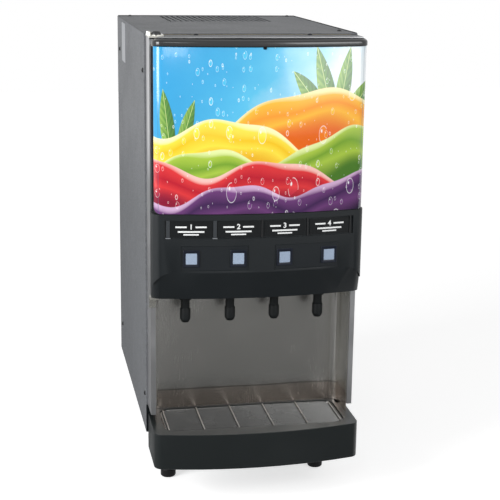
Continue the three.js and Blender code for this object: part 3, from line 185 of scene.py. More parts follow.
class Effect:
    """A shader group that several finishes share, built once when it is first asked for."""

    built: dict[str, bpy.types.NodeTree] = {}

    def __init__(
        self,
        name: str,
        inputs: Sequence[tuple[str, SocketKind, object]],
        outputs: Sequence[tuple[str, SocketKind]],
        write: Callable[[Graph, bpy.types.Node], dict[str, object]],
    ) -> None:
        """Keeps the recipe.

        Args:
            name: the group's name.
            inputs: name, kind and default value of each input.
            outputs: name and kind of each output.
            write: fills the group and returns the socket for each output.
        """
        self.name, self.inputs, self.outputs, self.write = name, inputs, outputs, write

    def tree(self) -> bpy.types.NodeTree:
        """Returns the group's tree, made on the first call."""
        if self.name not in self.built:
            tree = bpy.data.node_groups.new(self.name, "ShaderNodeTree")
            for name, kind, default in self.inputs:
                socket = tree.interface.new_socket(name=name, in_out="INPUT", socket_type=kind.value)
                socket.default_value = default
            for name, kind in self.outputs:
                tree.interface.new_socket(name=name, in_out="OUTPUT", socket_type=kind.value)
            graph = Graph(tree)
            start, end = graph.add("NodeGroupInput"), graph.add("NodeGroupOutput")
            for name, value in self.write(graph, start).items():
                graph.feed(end.inputs[name], value)
            self.built[self.name] = tree
        return self.built[self.name]

    def place(self, graph: Graph, sockets: dict[str, object]) -> bpy.types.Node:
        """Puts the group into a material with its own values."""
        return graph.add("ShaderNodeGroup", sockets, node_tree=self.tree())


def write_grain(graph: Graph, start: bpy.types.Node) -> dict[str, object]:
    """Fills the grain group: noise stretched along one way, with a finer second layer."""
    stretched = graph.multiply(start.outputs["Vector"], start.outputs["Stretch"])
    coarse = graph.noise(stretched, 1.0, 4.0)
    fine = graph.noise(stretched, 3.7, 2.0)
    return {"Grain": graph.math("MULTIPLY_ADD", fine, 0.35, graph.math("MULTIPLY", coarse, 0.65))}


def write_cells(graph: Graph, start: bpy.types.Node) -> dict[str, object]:
    """Fills the cell group: rounded dimples, and a tone that changes from cell to cell."""
    warp = graph.noise(start.outputs["Vector"], 90.0, 2.0)
    moved = graph.add(
        "ShaderNodeVectorMath", {0: graph.join(warp, warp, warp), 1: mm(2.4, 2.4, 2.4), 2: start.outputs["Vector"]},
        operation="MULTIPLY_ADD",
    )
    cells = graph.add("ShaderNodeTexVoronoi", {"Vector": moved.outputs[0], "Scale": start.outputs["Scale"]})
    cells.feature = "SMOOTH_F1"
    cells.inputs["Smoothness"].default_value = 0.35
    tone = graph.add("ShaderNodeSeparateColor", {0: cells.outputs["Color"]}).outputs[0]
    return {"Dimple": graph.remap(cells.outputs["Distance"], 0.1, 0.75), "Tone": tone}


def write_patina(graph: Graph, start: bpy.types.Node) -> dict[str, object]:
    """Fills the patina group: hand smudges anywhere, and dust on faces that look up."""
    vector = start.outputs["Vector"]
    smudge = graph.remap(graph.noise(vector, 11.0, 5.0), 0.42, 0.68)
    up = graph.remap(graph.split(start.outputs["Normal"])[2], 0.55, 0.95)
    speckle = graph.remap(graph.noise(vector, 240.0, 3.0), 0.35, 0.7)
    return {"Smudge": smudge, "Dust": graph.math("MULTIPLY", up, speckle)}


GRAIN = Effect(
    "stretched_grain",
    [("Vector", SocketKind.VECTOR, (0, 0, 0)), ("Stretch", SocketKind.VECTOR, (900, 900, 900))],
    [("Grain", SocketKind.NUMBER)],
    write_grain,
)
CELLS = Effect(
    "dimpled_cells",
    [("Vector", SocketKind.VECTOR, (0, 0, 0)), ("Scale", SocketKind.NUMBER, 300.0)],
    [("Dimple", SocketKind.NUMBER), ("Tone", SocketKind.NUMBER)],
    write_cells,
)
PATINA = Effect(
    "smudge_and_dust",
    [("Vector", SocketKind.VECTOR, (0, 0, 0)), ("Normal", SocketKind.VECTOR, (0, 0, 1))],
    [("Smudge", SocketKind.NUMBER), ("Dust", SocketKind.NUMBER)],
    write_patina,
)


# Finishes


class Texture(Enum):
    """Kinds of fine structure on a surface."""

    MOULDED = "moulded"
    BRUSHED = "brushed"
    DIMPLED = "dimpled"


@dataclass(frozen=True)
class Finish:
    """One surface finish, made a material once."""

    name: str
    colour: Triple
    roughness: float = 0.5
    metallic: float = 0.0
    texture: Texture = Texture.MOULDED
    stretch: Triple = (900.0, 900.0, 900.0)
    cell_scale: float = 300.0
    relief: float = 0.15
    relief_depth: float = 0.0003
    shade_share: float = 0.08
    gloss_share: float = 0.12
    smudge_share: float = 0.06
    dust_share: float = 0.0
    coat: float = 0.0
    coat_roughness: float = 0.1
    specular: float = 0.5

    def material(self) -> bpy.types.Material:
        """Returns the material, made on the first call."""
        title = self.name + "_finish"
        return bpy.data.materials.get(title) or self.build(title)

    def build(self, title: str) -> bpy.types.Material:
        """Returns a new material with the finish's nodes."""
        material = bpy.data.materials.new(title)
        material.use_nodes = True
        material.node_tree.nodes.clear()
        graph = Graph(material.node_tree)
        place = graph.add("ShaderNodeTexCoord").outputs["Object"]
        normal = graph.add("ShaderNodeNewGeometry").outputs["Normal"]
        patina = PATINA.place(graph, {"Vector": place, "Normal": normal})
        relief, tone = self.structure(graph, place)
        colour = self.tinted(graph, place, tone, patina)
        gloss = graph.math("MULTIPLY_ADD", patina.outputs["Smudge"], self.smudge_share, self.roughness)
        gloss = graph.math("MULTIPLY_ADD", graph.math("SUBTRACT", relief, 0.5), self.gloss_share, gloss)
        bump = graph.add(
            "ShaderNodeBump", {"Strength": self.relief, "Distance": self.relief_depth, "Height": relief},
        )
        shader = graph.add("ShaderNodeBsdfPrincipled", {
            "Base Color": colour, "Roughness": gloss, "Metallic": self.metallic, "Normal": bump.outputs[0],
            "Coat Weight": self.coat, "Coat Roughness": self.coat_roughness, "Specular IOR Level": self.specular,
        })
        self.finish_shader(graph, place, shader)
        graph.add("ShaderNodeOutputMaterial", {"Surface": shader.outputs[0]})
        return material

    def structure(self, graph: Graph, place: object) -> tuple[object, object]:
        """Returns the height of the fine relief, and the value that the tone follows."""
        if self.texture is Texture.DIMPLED:
            cells = CELLS.place(graph, {"Vector": place, "Scale": self.cell_scale})
            return cells.outputs["Dimple"], cells.outputs["Tone"]
        grain = GRAIN.place(graph, {"Vector": place, "Stretch": self.stretch}).outputs["Grain"]
        return grain, grain

    def tinted(self, graph: Graph, place: object, tone: object, patina: bpy.types.Node) -> object:
        """Returns the base colour with its variation and dust."""
        base = self.base_colour(graph, place)
        if base is None:
            full = linear(*self.colour)
            base = graph.blend(tone, scaled(full, 1 - self.shade_share), scaled(full, 1 + self.shade_share))
        drift = graph.remap(graph.noise(place, 5.0, 2.0), 0.3, 0.7, (0.94, 1.0))
        base = graph.blend(1.0, base, graph.join(drift, drift, drift), "MULTIPLY")
        dust = graph.math("MULTIPLY", patina.outputs["Dust"], self.dust_share)
        return graph.blend(dust, base, linear(150, 148, 142))

    def base_colour(self, graph: Graph, place: object) -> object | None:
        """Returns a base colour of the finish's own, or None for the plain one."""
        return None

    def finish_shader(self, graph: Graph, place: object, shader: bpy.types.Node) -> None:
        """Lets a finish add to its shader."""


@dataclass(frozen=True)
class SplashFinish(Finish):
    """Brushed sheet whose lower part is painted darker and warmer as a reflection of the drip tray, with a painted
    shade line at the bend above it and painted highlights towards its sides.
    """

    bend_z: float = 0.1812
    bend_shade_width: float = 0.0022
    painted_tray_reflection: Triple = (198, 189, 181)

    def base_colour(self, graph: Graph, place: object) -> object | None:
        """Returns the sheet's colour by height, with its painted reflection, shade line and highlights."""
        height = graph.split(place)[2]
        wavy = graph.math("MULTIPLY_ADD", graph.noise(place, 9.0, 2.0), 0.003, height)
        plain = linear(*self.colour)
        # Painted highlight: the sheet is made lighter towards its rounded sides.
        sides = graph.remap(graph.math("ABSOLUTE", graph.split(place)[0]), 0.120, 0.176)
        plain = graph.blend(sides, scaled(plain, 0.96), scaled(plain, 1.12))
        # Painted reflection of the drip tray: the sheet below the bend is made darker and warmer.
        low = graph.remap(wavy, self.bend_z + 0.006, self.bend_z - 0.004)
        colour = graph.blend(low, plain, linear(*self.painted_tray_reflection))
        # Painted shade: a dark line along the bend.
        away = graph.math("ABSOLUTE", graph.math("SUBTRACT", wavy, self.bend_z + 0.0015))
        line = graph.remap(away, self.bend_shade_width, 0.0)
        return graph.blend(graph.math("MULTIPLY", line, 0.7), colour, linear(76, 72, 68))


@dataclass(frozen=True)
class PrintedPicture(Finish):
    """Generic drink picture on the door: a sky with layered waves in juice colours, leaves and bubbles."""

    half_width: float = 0.1840
    bottom_z: float = 0.5423
    height: float = 0.2839
    corner: float = 0.009
    border: float = 0.0065

    def base_colour(self, graph: Graph, place: object) -> object | None:
        """Returns the printed colours."""
        across, _, up = graph.split(place)
        u = graph.math("DIVIDE", across, self.half_width)
        v = graph.math("DIVIDE", graph.math("SUBTRACT", up, self.bottom_z), self.height)
        flat = graph.join(u, v, 0.0)
        picture = self.sky(graph, u, v, flat)
        picture = self.leaves(graph, flat, picture)
        picture = self.waves(graph, u, v, picture)
        picture = self.bubbles(graph, flat, picture)
        picture = self.frame_line(graph, across, picture)
        return self.shell_rim(graph, across, up, picture)

    def shell_rim(self, graph: Graph, across: object, up: object, picture: object) -> object:
        """Leaves the shell's rim black round the rounded picture."""
        beside = graph.math("SUBTRACT", graph.math("ABSOLUTE", across), self.half_width - self.corner)
        beside = graph.math("MAXIMUM", beside, 0.0)
        below = graph.math("MAXIMUM", graph.math("SUBTRACT", self.bottom_z + self.corner, up), 0.0)
        reach = graph.math("SQRT", graph.math(
            "ADD", graph.math("MULTIPLY", beside, beside), graph.math("MULTIPLY", below, below),
        ))
        rim = graph.remap(reach, self.corner - 0.0002, self.corner + 0.0002)
        return graph.blend(rim, picture, linear(18, 20, 22))

    def sky(self, graph: Graph, u: object, v: object, flat: object) -> object:
        """Returns a sky that goes from blue at the upper left to white at the lower right."""
        cloud = graph.noise(graph.multiply(flat, (1.1, 1.9, 1.0)), 1.4, 5.0)
        slope = graph.math("MULTIPLY_ADD", u, 0.62, graph.math("MULTIPLY", v, -0.55))
        slope = graph.math("MULTIPLY_ADD", cloud, 0.6, slope)
        place = graph.remap(slope, -0.75, 0.75)
        return graph.ramp(place, [
            (0.0, linear(38, 158, 214)), (0.36, linear(84, 190, 230)), (0.62, linear(166, 219, 241)),
            (0.82, linear(228, 243, 250)), (1.0, linear(252, 253, 253)),
        ])

    def waves(self, graph: Graph, u: object, v: object, picture: object) -> object:
        """Lays the waves of juice over the picture, from the rear one to the front one."""
        for wave in PICTURE_WAVES:
            part = WAVE.place(graph, {
                "Across": u, "Up": v, "Crest": wave.crest, "Slope": wave.slope, "Swell": wave.swell,
                "Turns": wave.turns, "Phase": wave.phase,
            })
            body = graph.ramp(part.outputs["Depth"], [
                (0.0, linear(*wave.glint)), (0.05, linear(*wave.light)), (0.3, linear(*wave.body)),
                (0.62, linear(*wave.light)), (1.0, linear(*wave.shade)),
            ])
            picture = graph.blend(part.outputs["Mask"], picture, body)
        return picture

    def leaves(self, graph: Graph, flat: object, picture: object) -> object:
        """Lays leaves behind the waves."""
        for x, y, turn, length in PICTURE_LEAVES:
            placed = graph.add(
                "ShaderNodeMapping",
                {
                    "Vector": flat, "Location": (x, y, 0), "Rotation": (0, 0, turn),
                    "Scale": (length, length * 0.66, 1),
                },
                vector_type="TEXTURE",
            )
            leaf = LEAF.place(graph, {"Vector": placed.outputs[0]})
            green = graph.ramp(leaf.outputs["Light"], [
                (0.0, linear(38, 88, 34)), (0.45, linear(86, 140, 52)), (0.8, linear(148, 186, 84)),
                (1.0, linear(206, 222, 150)),
            ])
            picture = graph.blend(leaf.outputs["Mask"], picture, green)
        return picture

    def bubbles(self, graph: Graph, flat: object, picture: object) -> object:
        """Lays clear bubbles of two sizes over the picture."""
        for scale, share in ((5.2, 0.62), (12.5, 0.5)):
            drops = BUBBLE.place(graph, {"Vector": graph.multiply(flat, (1.32, 1.0, 1.0)), "Scale": scale})
            body = graph.math("MULTIPLY", drops.outputs["Body"], share)
            picture = graph.blend(body, picture, linear(248, 250, 246), "SOFT_LIGHT")
            picture = graph.blend(drops.outputs["Rim"], picture, linear(250, 252, 252))
        return picture

    def frame_line(self, graph: Graph, across: object, picture: object) -> object:
        """Draws the line of the card's edge behind the clear cover."""
        edge = graph.math("SUBTRACT", self.half_width - self.border, graph.math("ABSOLUTE", across))
        line = graph.remap(graph.math("ABSOLUTE", edge), 0.0002, 0.0009, (0.45, 0.0))
        return graph.blend(line, picture, linear(58, 96, 122))


@dataclass(frozen=True)
class Wave:
    """One wave of the printed picture, in shares of the picture's half width and height."""

    crest: float
    slope: float
    swell: float
    turns: float
    phase: float
    glint: Triple
    light: Triple
    body: Triple
    shade: Triple


PICTURE_WAVES = (
    Wave(0.60, 0.13, 0.105, 3.1, 0.6, (255, 236, 170), (253, 186, 44), (250, 152, 22), (232, 104, 14)),
    Wave(0.47, -0.10, 0.085, 3.9, 2.4, (255, 250, 190), (253, 226, 70), (248, 200, 34), (236, 168, 22)),
    Wave(0.375, 0.08, 0.07, 4.6, 4.2, (232, 244, 170), (170, 200, 70), (120, 164, 48), (74, 122, 38)),
    Wave(0.27, -0.06, 0.066, 4.1, 0.9, (255, 200, 190), (224, 54, 58), (190, 26, 46), (140, 18, 52)),
    Wave(0.145, 0.045, 0.05, 5.2, 3.0, (214, 178, 214), (108, 60, 118), (66, 36, 84), (34, 22, 50)),
)
PICTURE_LEAVES = (
    (0.60, 0.73, 1.95, 0.30), (0.76, 0.74, 1.32, 0.27), (0.46, 0.70, 2.45, 0.25), (0.90, 0.66, 0.72, 0.24),
    (-0.72, 0.50, 1.15, 0.21), (-0.88, 0.52, 1.75, 0.24),
)


def write_wave(graph: Graph, start: bpy.types.Node) -> dict[str, object]:
    """Fills the wave group: where the wave covers the picture, and how deep a point lies under its crest."""
    sockets = start.outputs
    turn = graph.math("MULTIPLY_ADD", sockets["Across"], sockets["Turns"], sockets["Phase"])
    swell = graph.math("SINE", turn)
    ripple = graph.math("SINE", graph.math("MULTIPLY_ADD", turn, 2.3, 1.1))
    swell = graph.math("MULTIPLY_ADD", ripple, 0.28, swell)
    crest = graph.math("MULTIPLY_ADD", swell, sockets["Swell"], sockets["Crest"])
    crest = graph.math("MULTIPLY_ADD", sockets["Across"], sockets["Slope"], crest)
    depth = graph.math("SUBTRACT", crest, sockets["Up"])
    curl = graph.math("SINE", graph.math("MULTIPLY_ADD", depth, 26.0, graph.math("MULTIPLY", turn, 1.6)))
    bent = graph.math("MULTIPLY_ADD", curl, 0.012, depth)
    return {"Mask": graph.remap(depth, 0.0, 0.006), "Depth": graph.remap(bent, 0.0, 0.26)}


def write_leaf(graph: Graph, start: bpy.types.Node) -> dict[str, object]:
    """Fills the leaf group: a pointed leaf from -1 to 1 along X, with a midrib and side veins."""
    x, y, _ = graph.split(start.outputs["Vector"])
    rest = graph.math("MAXIMUM", graph.math("SUBTRACT", 1.0, graph.math("MULTIPLY", x, x)), 0.0)
    half = graph.math("MULTIPLY", rest, 0.42)
    off = graph.math("ABSOLUTE", y)
    mask = graph.remap(graph.math("SUBTRACT", half, off), 0.0, 0.03)
    rib = graph.remap(off, 0.006, 0.035, (1.0, 0.0))
    veins = graph.math(
        "SINE", graph.math("MULTIPLY", graph.math("SUBTRACT", x, graph.math("MULTIPLY", off, 0.9)), 30.0),
    )
    light = graph.math("MULTIPLY_ADD", veins, 0.09, graph.remap(y, -0.4, 0.4, (0.22, 0.72)))
    return {"Mask": mask, "Light": graph.math("MAXIMUM", light, rib)}


def write_bubble(graph: Graph, start: bpy.types.Node) -> dict[str, object]:
    """Fills the bubble group: scattered discs of several sizes with a bright rim and a glint."""
    cells = graph.add("ShaderNodeTexVoronoi", {"Vector": start.outputs["Vector"], "Scale": start.outputs["Scale"]})
    cells.voronoi_dimensions = "2D"
    parts = graph.add("ShaderNodeSeparateColor", {0: cells.outputs["Color"]}).outputs
    radius = graph.math("MULTIPLY_ADD", graph.math("POWER", parts[0], 3.0), 0.3, 0.05)
    there = graph.math("GREATER_THAN", parts[1], 0.45)
    gap = graph.math("SUBTRACT", radius, cells.outputs["Distance"])
    body = graph.math("MULTIPLY", graph.remap(gap, 0.0, 0.02), there)
    rim = graph.math(
        "MULTIPLY", graph.remap(graph.math("ABSOLUTE", graph.math("SUBTRACT", gap, 0.018)), 0.0, 0.022, (0.7, 0.0)),
        there,
    )
    offset = graph.add(
        "ShaderNodeVectorMath",
        {0: start.outputs["Vector"], 1: graph.join(start.outputs["Scale"], start.outputs["Scale"], 0.0)},
        operation="MULTIPLY",
    ).outputs[0]
    centre = graph.multiply(
        cells.outputs["Position"], graph.join(start.outputs["Scale"], start.outputs["Scale"], 0.0),
    )
    side = graph.add("ShaderNodeVectorMath", {0: offset, 1: centre}, operation="SUBTRACT").outputs[0]
    shift = graph.join(graph.math("MULTIPLY", radius, -0.38), graph.math("MULTIPLY", radius, 0.4), 0.0)
    reach = graph.add("ShaderNodeVectorMath", {0: side, 1: shift}, operation="DISTANCE").outputs["Value"]
    glint = graph.math("MULTIPLY", graph.remap(graph.math("DIVIDE", reach, radius), 0.1, 0.26, (0.85, 0.0)), there)
    return {"Body": body, "Rim": graph.math("MAXIMUM", rim, glint)}


WAVE = Effect(
    "juice_wave",
    [(name, SocketKind.NUMBER, 0.0) for name in ("Across", "Up", "Crest", "Slope", "Swell", "Turns", "Phase")],
    [("Mask", SocketKind.NUMBER), ("Depth", SocketKind.NUMBER)],
    write_wave,
)
LEAF = Effect(
    "printed_leaf",
    [("Vector", SocketKind.VECTOR, (0, 0, 0))],
    [("Mask", SocketKind.NUMBER), ("Light", SocketKind.NUMBER)],
    write_leaf,
)
BUBBLE = Effect(
    "printed_bubble",
    [("Vector", SocketKind.VECTOR, (0, 0, 0)), ("Scale", SocketKind.NUMBER, 10.0)],
    [("Body", SocketKind.NUMBER), ("Rim", SocketKind.NUMBER)],
    write_bubble,
)

MOULDED_FINE = (1400.0, 1400.0, 1400.0)
BRUSHED_UP = (2600.0, 2600.0, 26.0)
BRUSHED_ACROSS = (26.0, 2600.0, 2600.0)
ROLLED = (700.0, 700.0, 60.0)

HAMMERED_GREY = Finish(
    "hammered_grey_paint", (108, 110, 113), 0.5, 0.1, Texture.DIMPLED, cell_scale=330.0, relief=0.35,
    relief_depth=0.0006, shade_share=0.14, dust_share=0.02, specular=0.07,
)
FRAME_STEEL = Finish(
    "frame_stainless", (192, 193, 195), 0.33, 1.0, Texture.BRUSHED, BRUSHED_UP, relief=0.05, shade_share=0.05,
    gloss_share=0.16, smudge_share=0.08,
)
SPLASH_STEEL = SplashFinish(
    "splash_stainless", (204, 203, 199), 0.24, 1.0, Texture.BRUSHED, BRUSHED_UP, relief=0.04, shade_share=0.04,
    gloss_share=0.14, smudge_share=0.02,
)
TANK_STEEL = Finish(
    "tank_stainless", (168, 170, 172), 0.3, 1.0, Texture.BRUSHED, BRUSHED_ACROSS, relief=0.05, gloss_share=0.14,
)
GALVANISED = Finish(
    "galvanised_steel", (150, 154, 157), 0.42, 0.85, Texture.DIMPLED, cell_scale=95.0, relief=0.04,
    shade_share=0.16, dust_share=0.2,
)
ZINC = Finish(
    "zinc_plate", (206, 205, 198), 0.26, 0.95, Texture.BRUSHED, ROLLED, relief=0.08, shade_share=0.08,
)
LINER_WHITE = Finish(
    "liner_white", (226, 229, 231), 0.34, 0.0, relief=0.06, stretch=MOULDED_FINE, shade_share=0.02, coat=0.25,
)
FOAM = Finish(
    "foam_cream", (222, 206, 158), 0.92, 0.0, Texture.DIMPLED, cell_scale=520.0, relief=0.6, relief_depth=0.0012,
    shade_share=0.12,
)
COPPER = Finish(
    "copper_tube", (176, 104, 66), 0.32, 0.95, Texture.BRUSHED, ROLLED, relief=0.06, shade_share=0.16,
    smudge_share=0.2,
)
MOTOR_STEEL = Finish(
    "motor_steel", (112, 116, 120), 0.42, 0.8, Texture.BRUSHED, ROLLED, relief=0.08, shade_share=0.12,
)
BLACK_ENAMEL = Finish(
    "black_enamel", (24, 25, 27), 0.3, 0.0, relief=0.12, stretch=(420.0, 420.0, 420.0), shade_share=0.14,
    dust_share=0.3, coat=0.3,
)
FIN_ALUMINIUM = Finish(
    "fin_aluminium", (190, 193, 196), 0.36, 0.95, Texture.BRUSHED, ROLLED, relief=0.06, dust_share=0.25,
)
BRASS = Finish("brass_fitting", (180, 142, 78), 0.28, 0.95, Texture.BRUSHED, ROLLED, relief=0.08, shade_share=0.12)
BLACK_PLASTIC = Finish(
    "black_plastic", (26, 28, 30), 0.42, relief=0.12, stretch=MOULDED_FINE, shade_share=0.1, dust_share=0.1,
)
TRAY_BLACK = Finish(
    "tray_black", (23, 28, 29), 0.4, relief=0.1, stretch=MOULDED_FINE, shade_share=0.08, specular=0.4,
)
NOZZLE_BLACK = Finish(
    "nozzle_black", (22, 25, 26), 0.42, relief=0.08, stretch=MOULDED_FINE, shade_share=0.08, specular=0.22,
)
LEG_BLACK = Finish(
    "leg_black", (15, 16, 17), 0.5, relief=0.14, stretch=MOULDED_FINE, shade_share=0.1, specular=0.15,
)
FASCIA_BLACK = Finish(
    "fascia_black", (20, 25, 28), 0.44, relief=0.1, stretch=MOULDED_FINE, shade_share=0.06, specular=0.36,
)
TRIM_BLACK = Finish(
    "trim_gloss_black", (12, 14, 17), 0.2, relief=0.03, stretch=(300.0, 300.0, 300.0), shade_share=0.06,
    gloss_share=0.05, coat=0.3, coat_roughness=0.12,
)
MATT_BLACK = Finish(
    "matt_black", (24, 27, 30), 0.75, relief=0.1, stretch=MOULDED_FINE, shade_share=0.06, specular=0.04,
)
RIB_GREY = Finish("rib_grey", (46, 50, 54), 0.4, relief=0.06, stretch=MOULDED_FINE, shade_share=0.06)
LABEL_BLACK = Finish(
    "label_black", (15, 18, 20), 0.34, relief=0.04, stretch=MOULDED_FINE, shade_share=0.06, specular=0.3,
)
LABEL_WHITE = Finish("label_white", (236, 238, 238), 0.45, relief=0.04, stretch=MOULDED_FINE, shade_share=0.03)
KEYPAD_BLUE = Finish(
    "keypad_blue", (20, 25, 29), 0.38, relief=0.08, stretch=MOULDED_FINE, shade_share=0.06, specular=0.36,
)
BEZEL_BLUE = Finish(
    "keypad_bezel_blue", (19, 24, 36), 0.34, relief=0.06, stretch=MOULDED_FINE, shade_share=0.08, specular=0.3,
)
BUTTON_LENS = Finish(
    "button_lens", (152, 168, 190), 0.28, relief=0.1, texture=Texture.DIMPLED, cell_scale=900.0, shade_share=0.05,
    coat=0.4,
)
GASKET_GREY = Finish("gasket_grey", (96, 99, 103), 0.62, relief=0.1, stretch=MOULDED_FINE, shade_share=0.06)
CONTAINER_WHITE = Finish(
    "container_plastic", (232, 230, 222), 0.42, relief=0.1, stretch=(500.0, 500.0, 500.0), shade_share=0.04,
)
GRILLE_CHROME = Finish(
    "grille_chrome", (98, 98, 97), 0.24, 1.0, Texture.BRUSHED, ROLLED, relief=0.03, shade_share=0.04,
    gloss_share=0.08,
)
# Lighter copy of the grille chrome for the cross wires, a painted highlight of the wires that lie on top.
CROSS_CHROME_HIGHLIGHT = Finish(
    "grille_cross_chrome_highlight", (150, 149, 147), 0.34, 0.7, Texture.BRUSHED, ROLLED, relief=0.03, shade_share=0.04,
    gloss_share=0.08,
)
BLACK_SCREW = Finish("screw_black_oxide", (20, 21, 23), 0.34, 0.6, relief=0.1, stretch=MOULDED_FINE)
# Pale grey of the side plate, also used as painted highlight on the ledges under the card ribs.
PALE_LABEL_AND_LEDGE_HIGHLIGHT = Finish("plain_pale_label_and_ledge_highlight", (138, 141, 146), 0.4, relief=0.04, stretch=MOULDED_FINE, shade_share=0.02)
FOIL_WHITE = Finish(
    "plain_container_label", (236, 236, 232), 0.5, relief=0.03, stretch=MOULDED_FINE, shade_share=0.02,
)
CHIP_BLACK = Finish("chip_black", (18, 19, 21), 0.4, relief=0.06, stretch=MOULDED_FINE, shade_share=0.06)
CAP_BLUE = Finish("cap_blue", (44, 92, 150), 0.38, relief=0.08, stretch=MOULDED_FINE, shade_share=0.06)
DOOR_PICTURE = PrintedPicture(
    "front_graphic", (80, 180, 225), 0.2, relief=0.02, stretch=(300.0, 300.0, 300.0), gloss_share=0.04,
    smudge_share=0.03, coat=0.35, coat_roughness=0.06,
)


@dataclass(frozen=True)
class BoardFinish(Finish):
    """Green circuit board with traces and solder pads."""

    def base_colour(self, graph: Graph, place: object) -> object | None:
        """Returns the lacquer with lighter traces and bright pads."""
        x, _, z = graph.split(place)
        flat = graph.join(x, z, 0.0)
        bricks = graph.add("ShaderNodeTexBrick", {
            "Vector": flat, "Scale": 95.0, "Mortar Size": 0.045, "Mortar Smooth": 0.1, "Row Height": 0.32,
            "Color1": linear(24, 86, 56), "Color2": linear(30, 98, 62), "Mortar": linear(86, 150, 104),
        })
        pads = graph.add("ShaderNodeTexVoronoi", {"Vector": flat, "Scale": 260.0, "Randomness": 0.15})
        pads.voronoi_dimensions = "2D"
        dot = graph.remap(pads.outputs["Distance"], 0.16, 0.22, (0.8, 0.0))
        sparse = graph.math("GREATER_THAN", graph.noise(flat, 60.0, 1.0), 0.56)
        return graph.blend(graph.math("MULTIPLY", dot, sparse), bricks.outputs[0], linear(190, 190, 182))


BOARD_GREEN = BoardFinish("circuit_green", (30, 92, 58), 0.36, relief=0.1, stretch=MOULDED_FINE, coat=0.3)


# Meshes and pieces


def link(name: str, mesh: bpy.types.Mesh) -> bpy.types.Object:
    """Puts a mesh into the scene as an object at the origin."""
    piece = bpy.data.objects.new(name, mesh)
    bpy.context.scene.collection.objects.link(piece)
    return piece


def baked(piece: bpy.types.Object) -> bpy.types.Object:
    """Turns the result of a piece's modifiers into its plain mesh, and removes the modifiers."""
    evaluated = piece.evaluated_get(bpy.context.evaluated_depsgraph_get())
    mesh = bpy.data.meshes.new_from_object(evaluated)
    piece.modifiers.clear()
    piece.data = mesh
    return piece


def fit(
    piece: bpy.types.Object,
    finish: Finish | None,
    body: str = "cabinet",
    replaces: Sequence[str] = (),
) -> bpy.types.Object:
    """Gives a piece its finish and its body.

    Args:
        piece: the object, in place.
        finish: its finish, or None where its mesh has its materials.
        body: the CAD body that it rides on.
        replaces: CAD nodes that it stands for.

    Returns:
        The same object.
    """
    if finish:
        piece.data.materials.clear()
        piece.data.materials.append(finish.material())
    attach(piece, body)
    if replaces:
        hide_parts(*replaces)
    LOG.info("%s: %d faces on %s", piece.name, len(piece.data.polygons), body)
    return piece


def dress(nodes: Iterable[str], finish: Finish) -> None:
    """Gives CAD nodes a finish through their own material slots."""
    for name in nodes:
        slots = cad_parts[name].material_slots
        for slot in slots:
            slot.material = finish.material()
        LOG.info("%s: dressed in %s", name, finish.name)


def smoothed(mesh: bpy.types.Mesh, angle: float) -> None:
    """Shades a mesh smooth up to an angle between faces."""
    mesh.shade_smooth()
    mesh.set_sharp_from_angle(angle=angle)


def rounded_copy(
    node: str, edge: float, finish: Finish, body: str = "cabinet", segments: int = 2, angle: float = 0.56,
    join_flats: bool = True,
) -> bpy.types.Object:
    """Rebuilds a CAD node with rounded edges.

    Args:
        node: the CAD node that the piece stands for.
        edge: width of the rounding in metres.
        finish: the piece's finish.
        body: the body that it rides on.
        segments: steps of the rounding.
        angle: edges that turn more than this are rounded.
        join_flats: whether flat triangles are joined first, which a sheet with many slots can't take.

    Returns:
        The new piece.
    """
    shape = bmesh.new()
    shape.from_mesh(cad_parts[node].data)
    bmesh.ops.remove_doubles(shape, verts=shape.verts, dist=WELD)
    if join_flats:
        bmesh.ops.dissolve_limit(shape, angle_limit=math.radians(0.05), verts=shape.verts, edges=shape.edges)
    mesh = bpy.data.meshes.new(node + "_rounded")
    shape.to_mesh(mesh)
    shape.free()
    piece = link(node + "_dressed", mesh)
    smoothed(mesh, angle)
    bevel = piece.modifiers.new("edge", "BEVEL")
    bevel.width, bevel.segments, bevel.angle_limit = edge, segments, angle
    bevel.limit_method = "ANGLE"
    bevel.use_clamp_overlap = True
    bevel.miter_outer = "MITER_ARC"
    bevel.harden_normals = True
    return fit(baked(piece), finish, body, (node,))


def loft(name: str, rings: Sequence[Sequence[Triple]], looped: bool = False) -> bpy.types.Mesh:
    """Makes a closed skin over rings of equal length.

    Args:
        name: the mesh's name.
        rings: loops of points, each turned the same way, from one end to the other.
        looped: whether the last ring is joined to the first, in place of two filled ends.

    Returns:
        The mesh with its faces outwards.
    """
    shape = bmesh.new()
    loops = [[shape.verts.new(point) for point in ring] for ring in rings]
    count = len(rings[0])
    for low, high in zip(loops, loops[1:] + loops[:1] if looped else loops[1:]):
        for index in range(count):
            after = (index + 1) % count
            shape.faces.new((low[index], low[after], high[after], high[index]))
    if not looped:
        shape.faces.new(list(reversed(loops[0])))
        shape.faces.new(loops[-1])
    bmesh.ops.recalc_face_normals(shape, faces=shape.faces)
    mesh = bpy.data.meshes.new(name)
    shape.to_mesh(mesh)
    shape.free()
    return mesh


def rounded_rectangle(half_x: float, half_y: float, corner: float, steps: int = 5) -> list[Pair]:
    """Returns a closed outline round the origin, a rectangle with rounded corners."""
    outline: list[Pair] = []
    for turn, (side_x, side_y) in enumerate(((1, 1), (-1, 1), (-1, -1), (1, -1))):
        for step in range(steps + 1):
            angle = math.pi / 2 * (turn + step / steps)
            outline.append((
                side_x * (half_x - corner) + corner * math.cos(angle),
                side_y * (half_y - corner) + corner * math.sin(angle),
            ))
    return outline


def repaint(piece: bpy.types.Object, finish: Finish, chosen: Callable[[bpy.types.MeshPolygon], bool]) -> None:
    """Gives the chosen faces of a piece a second finish."""
    piece.data.materials.append(finish.material())
    place = len(piece.data.materials) - 1
    for face in piece.data.polygons:
        if chosen(face):
            face.material_index = place


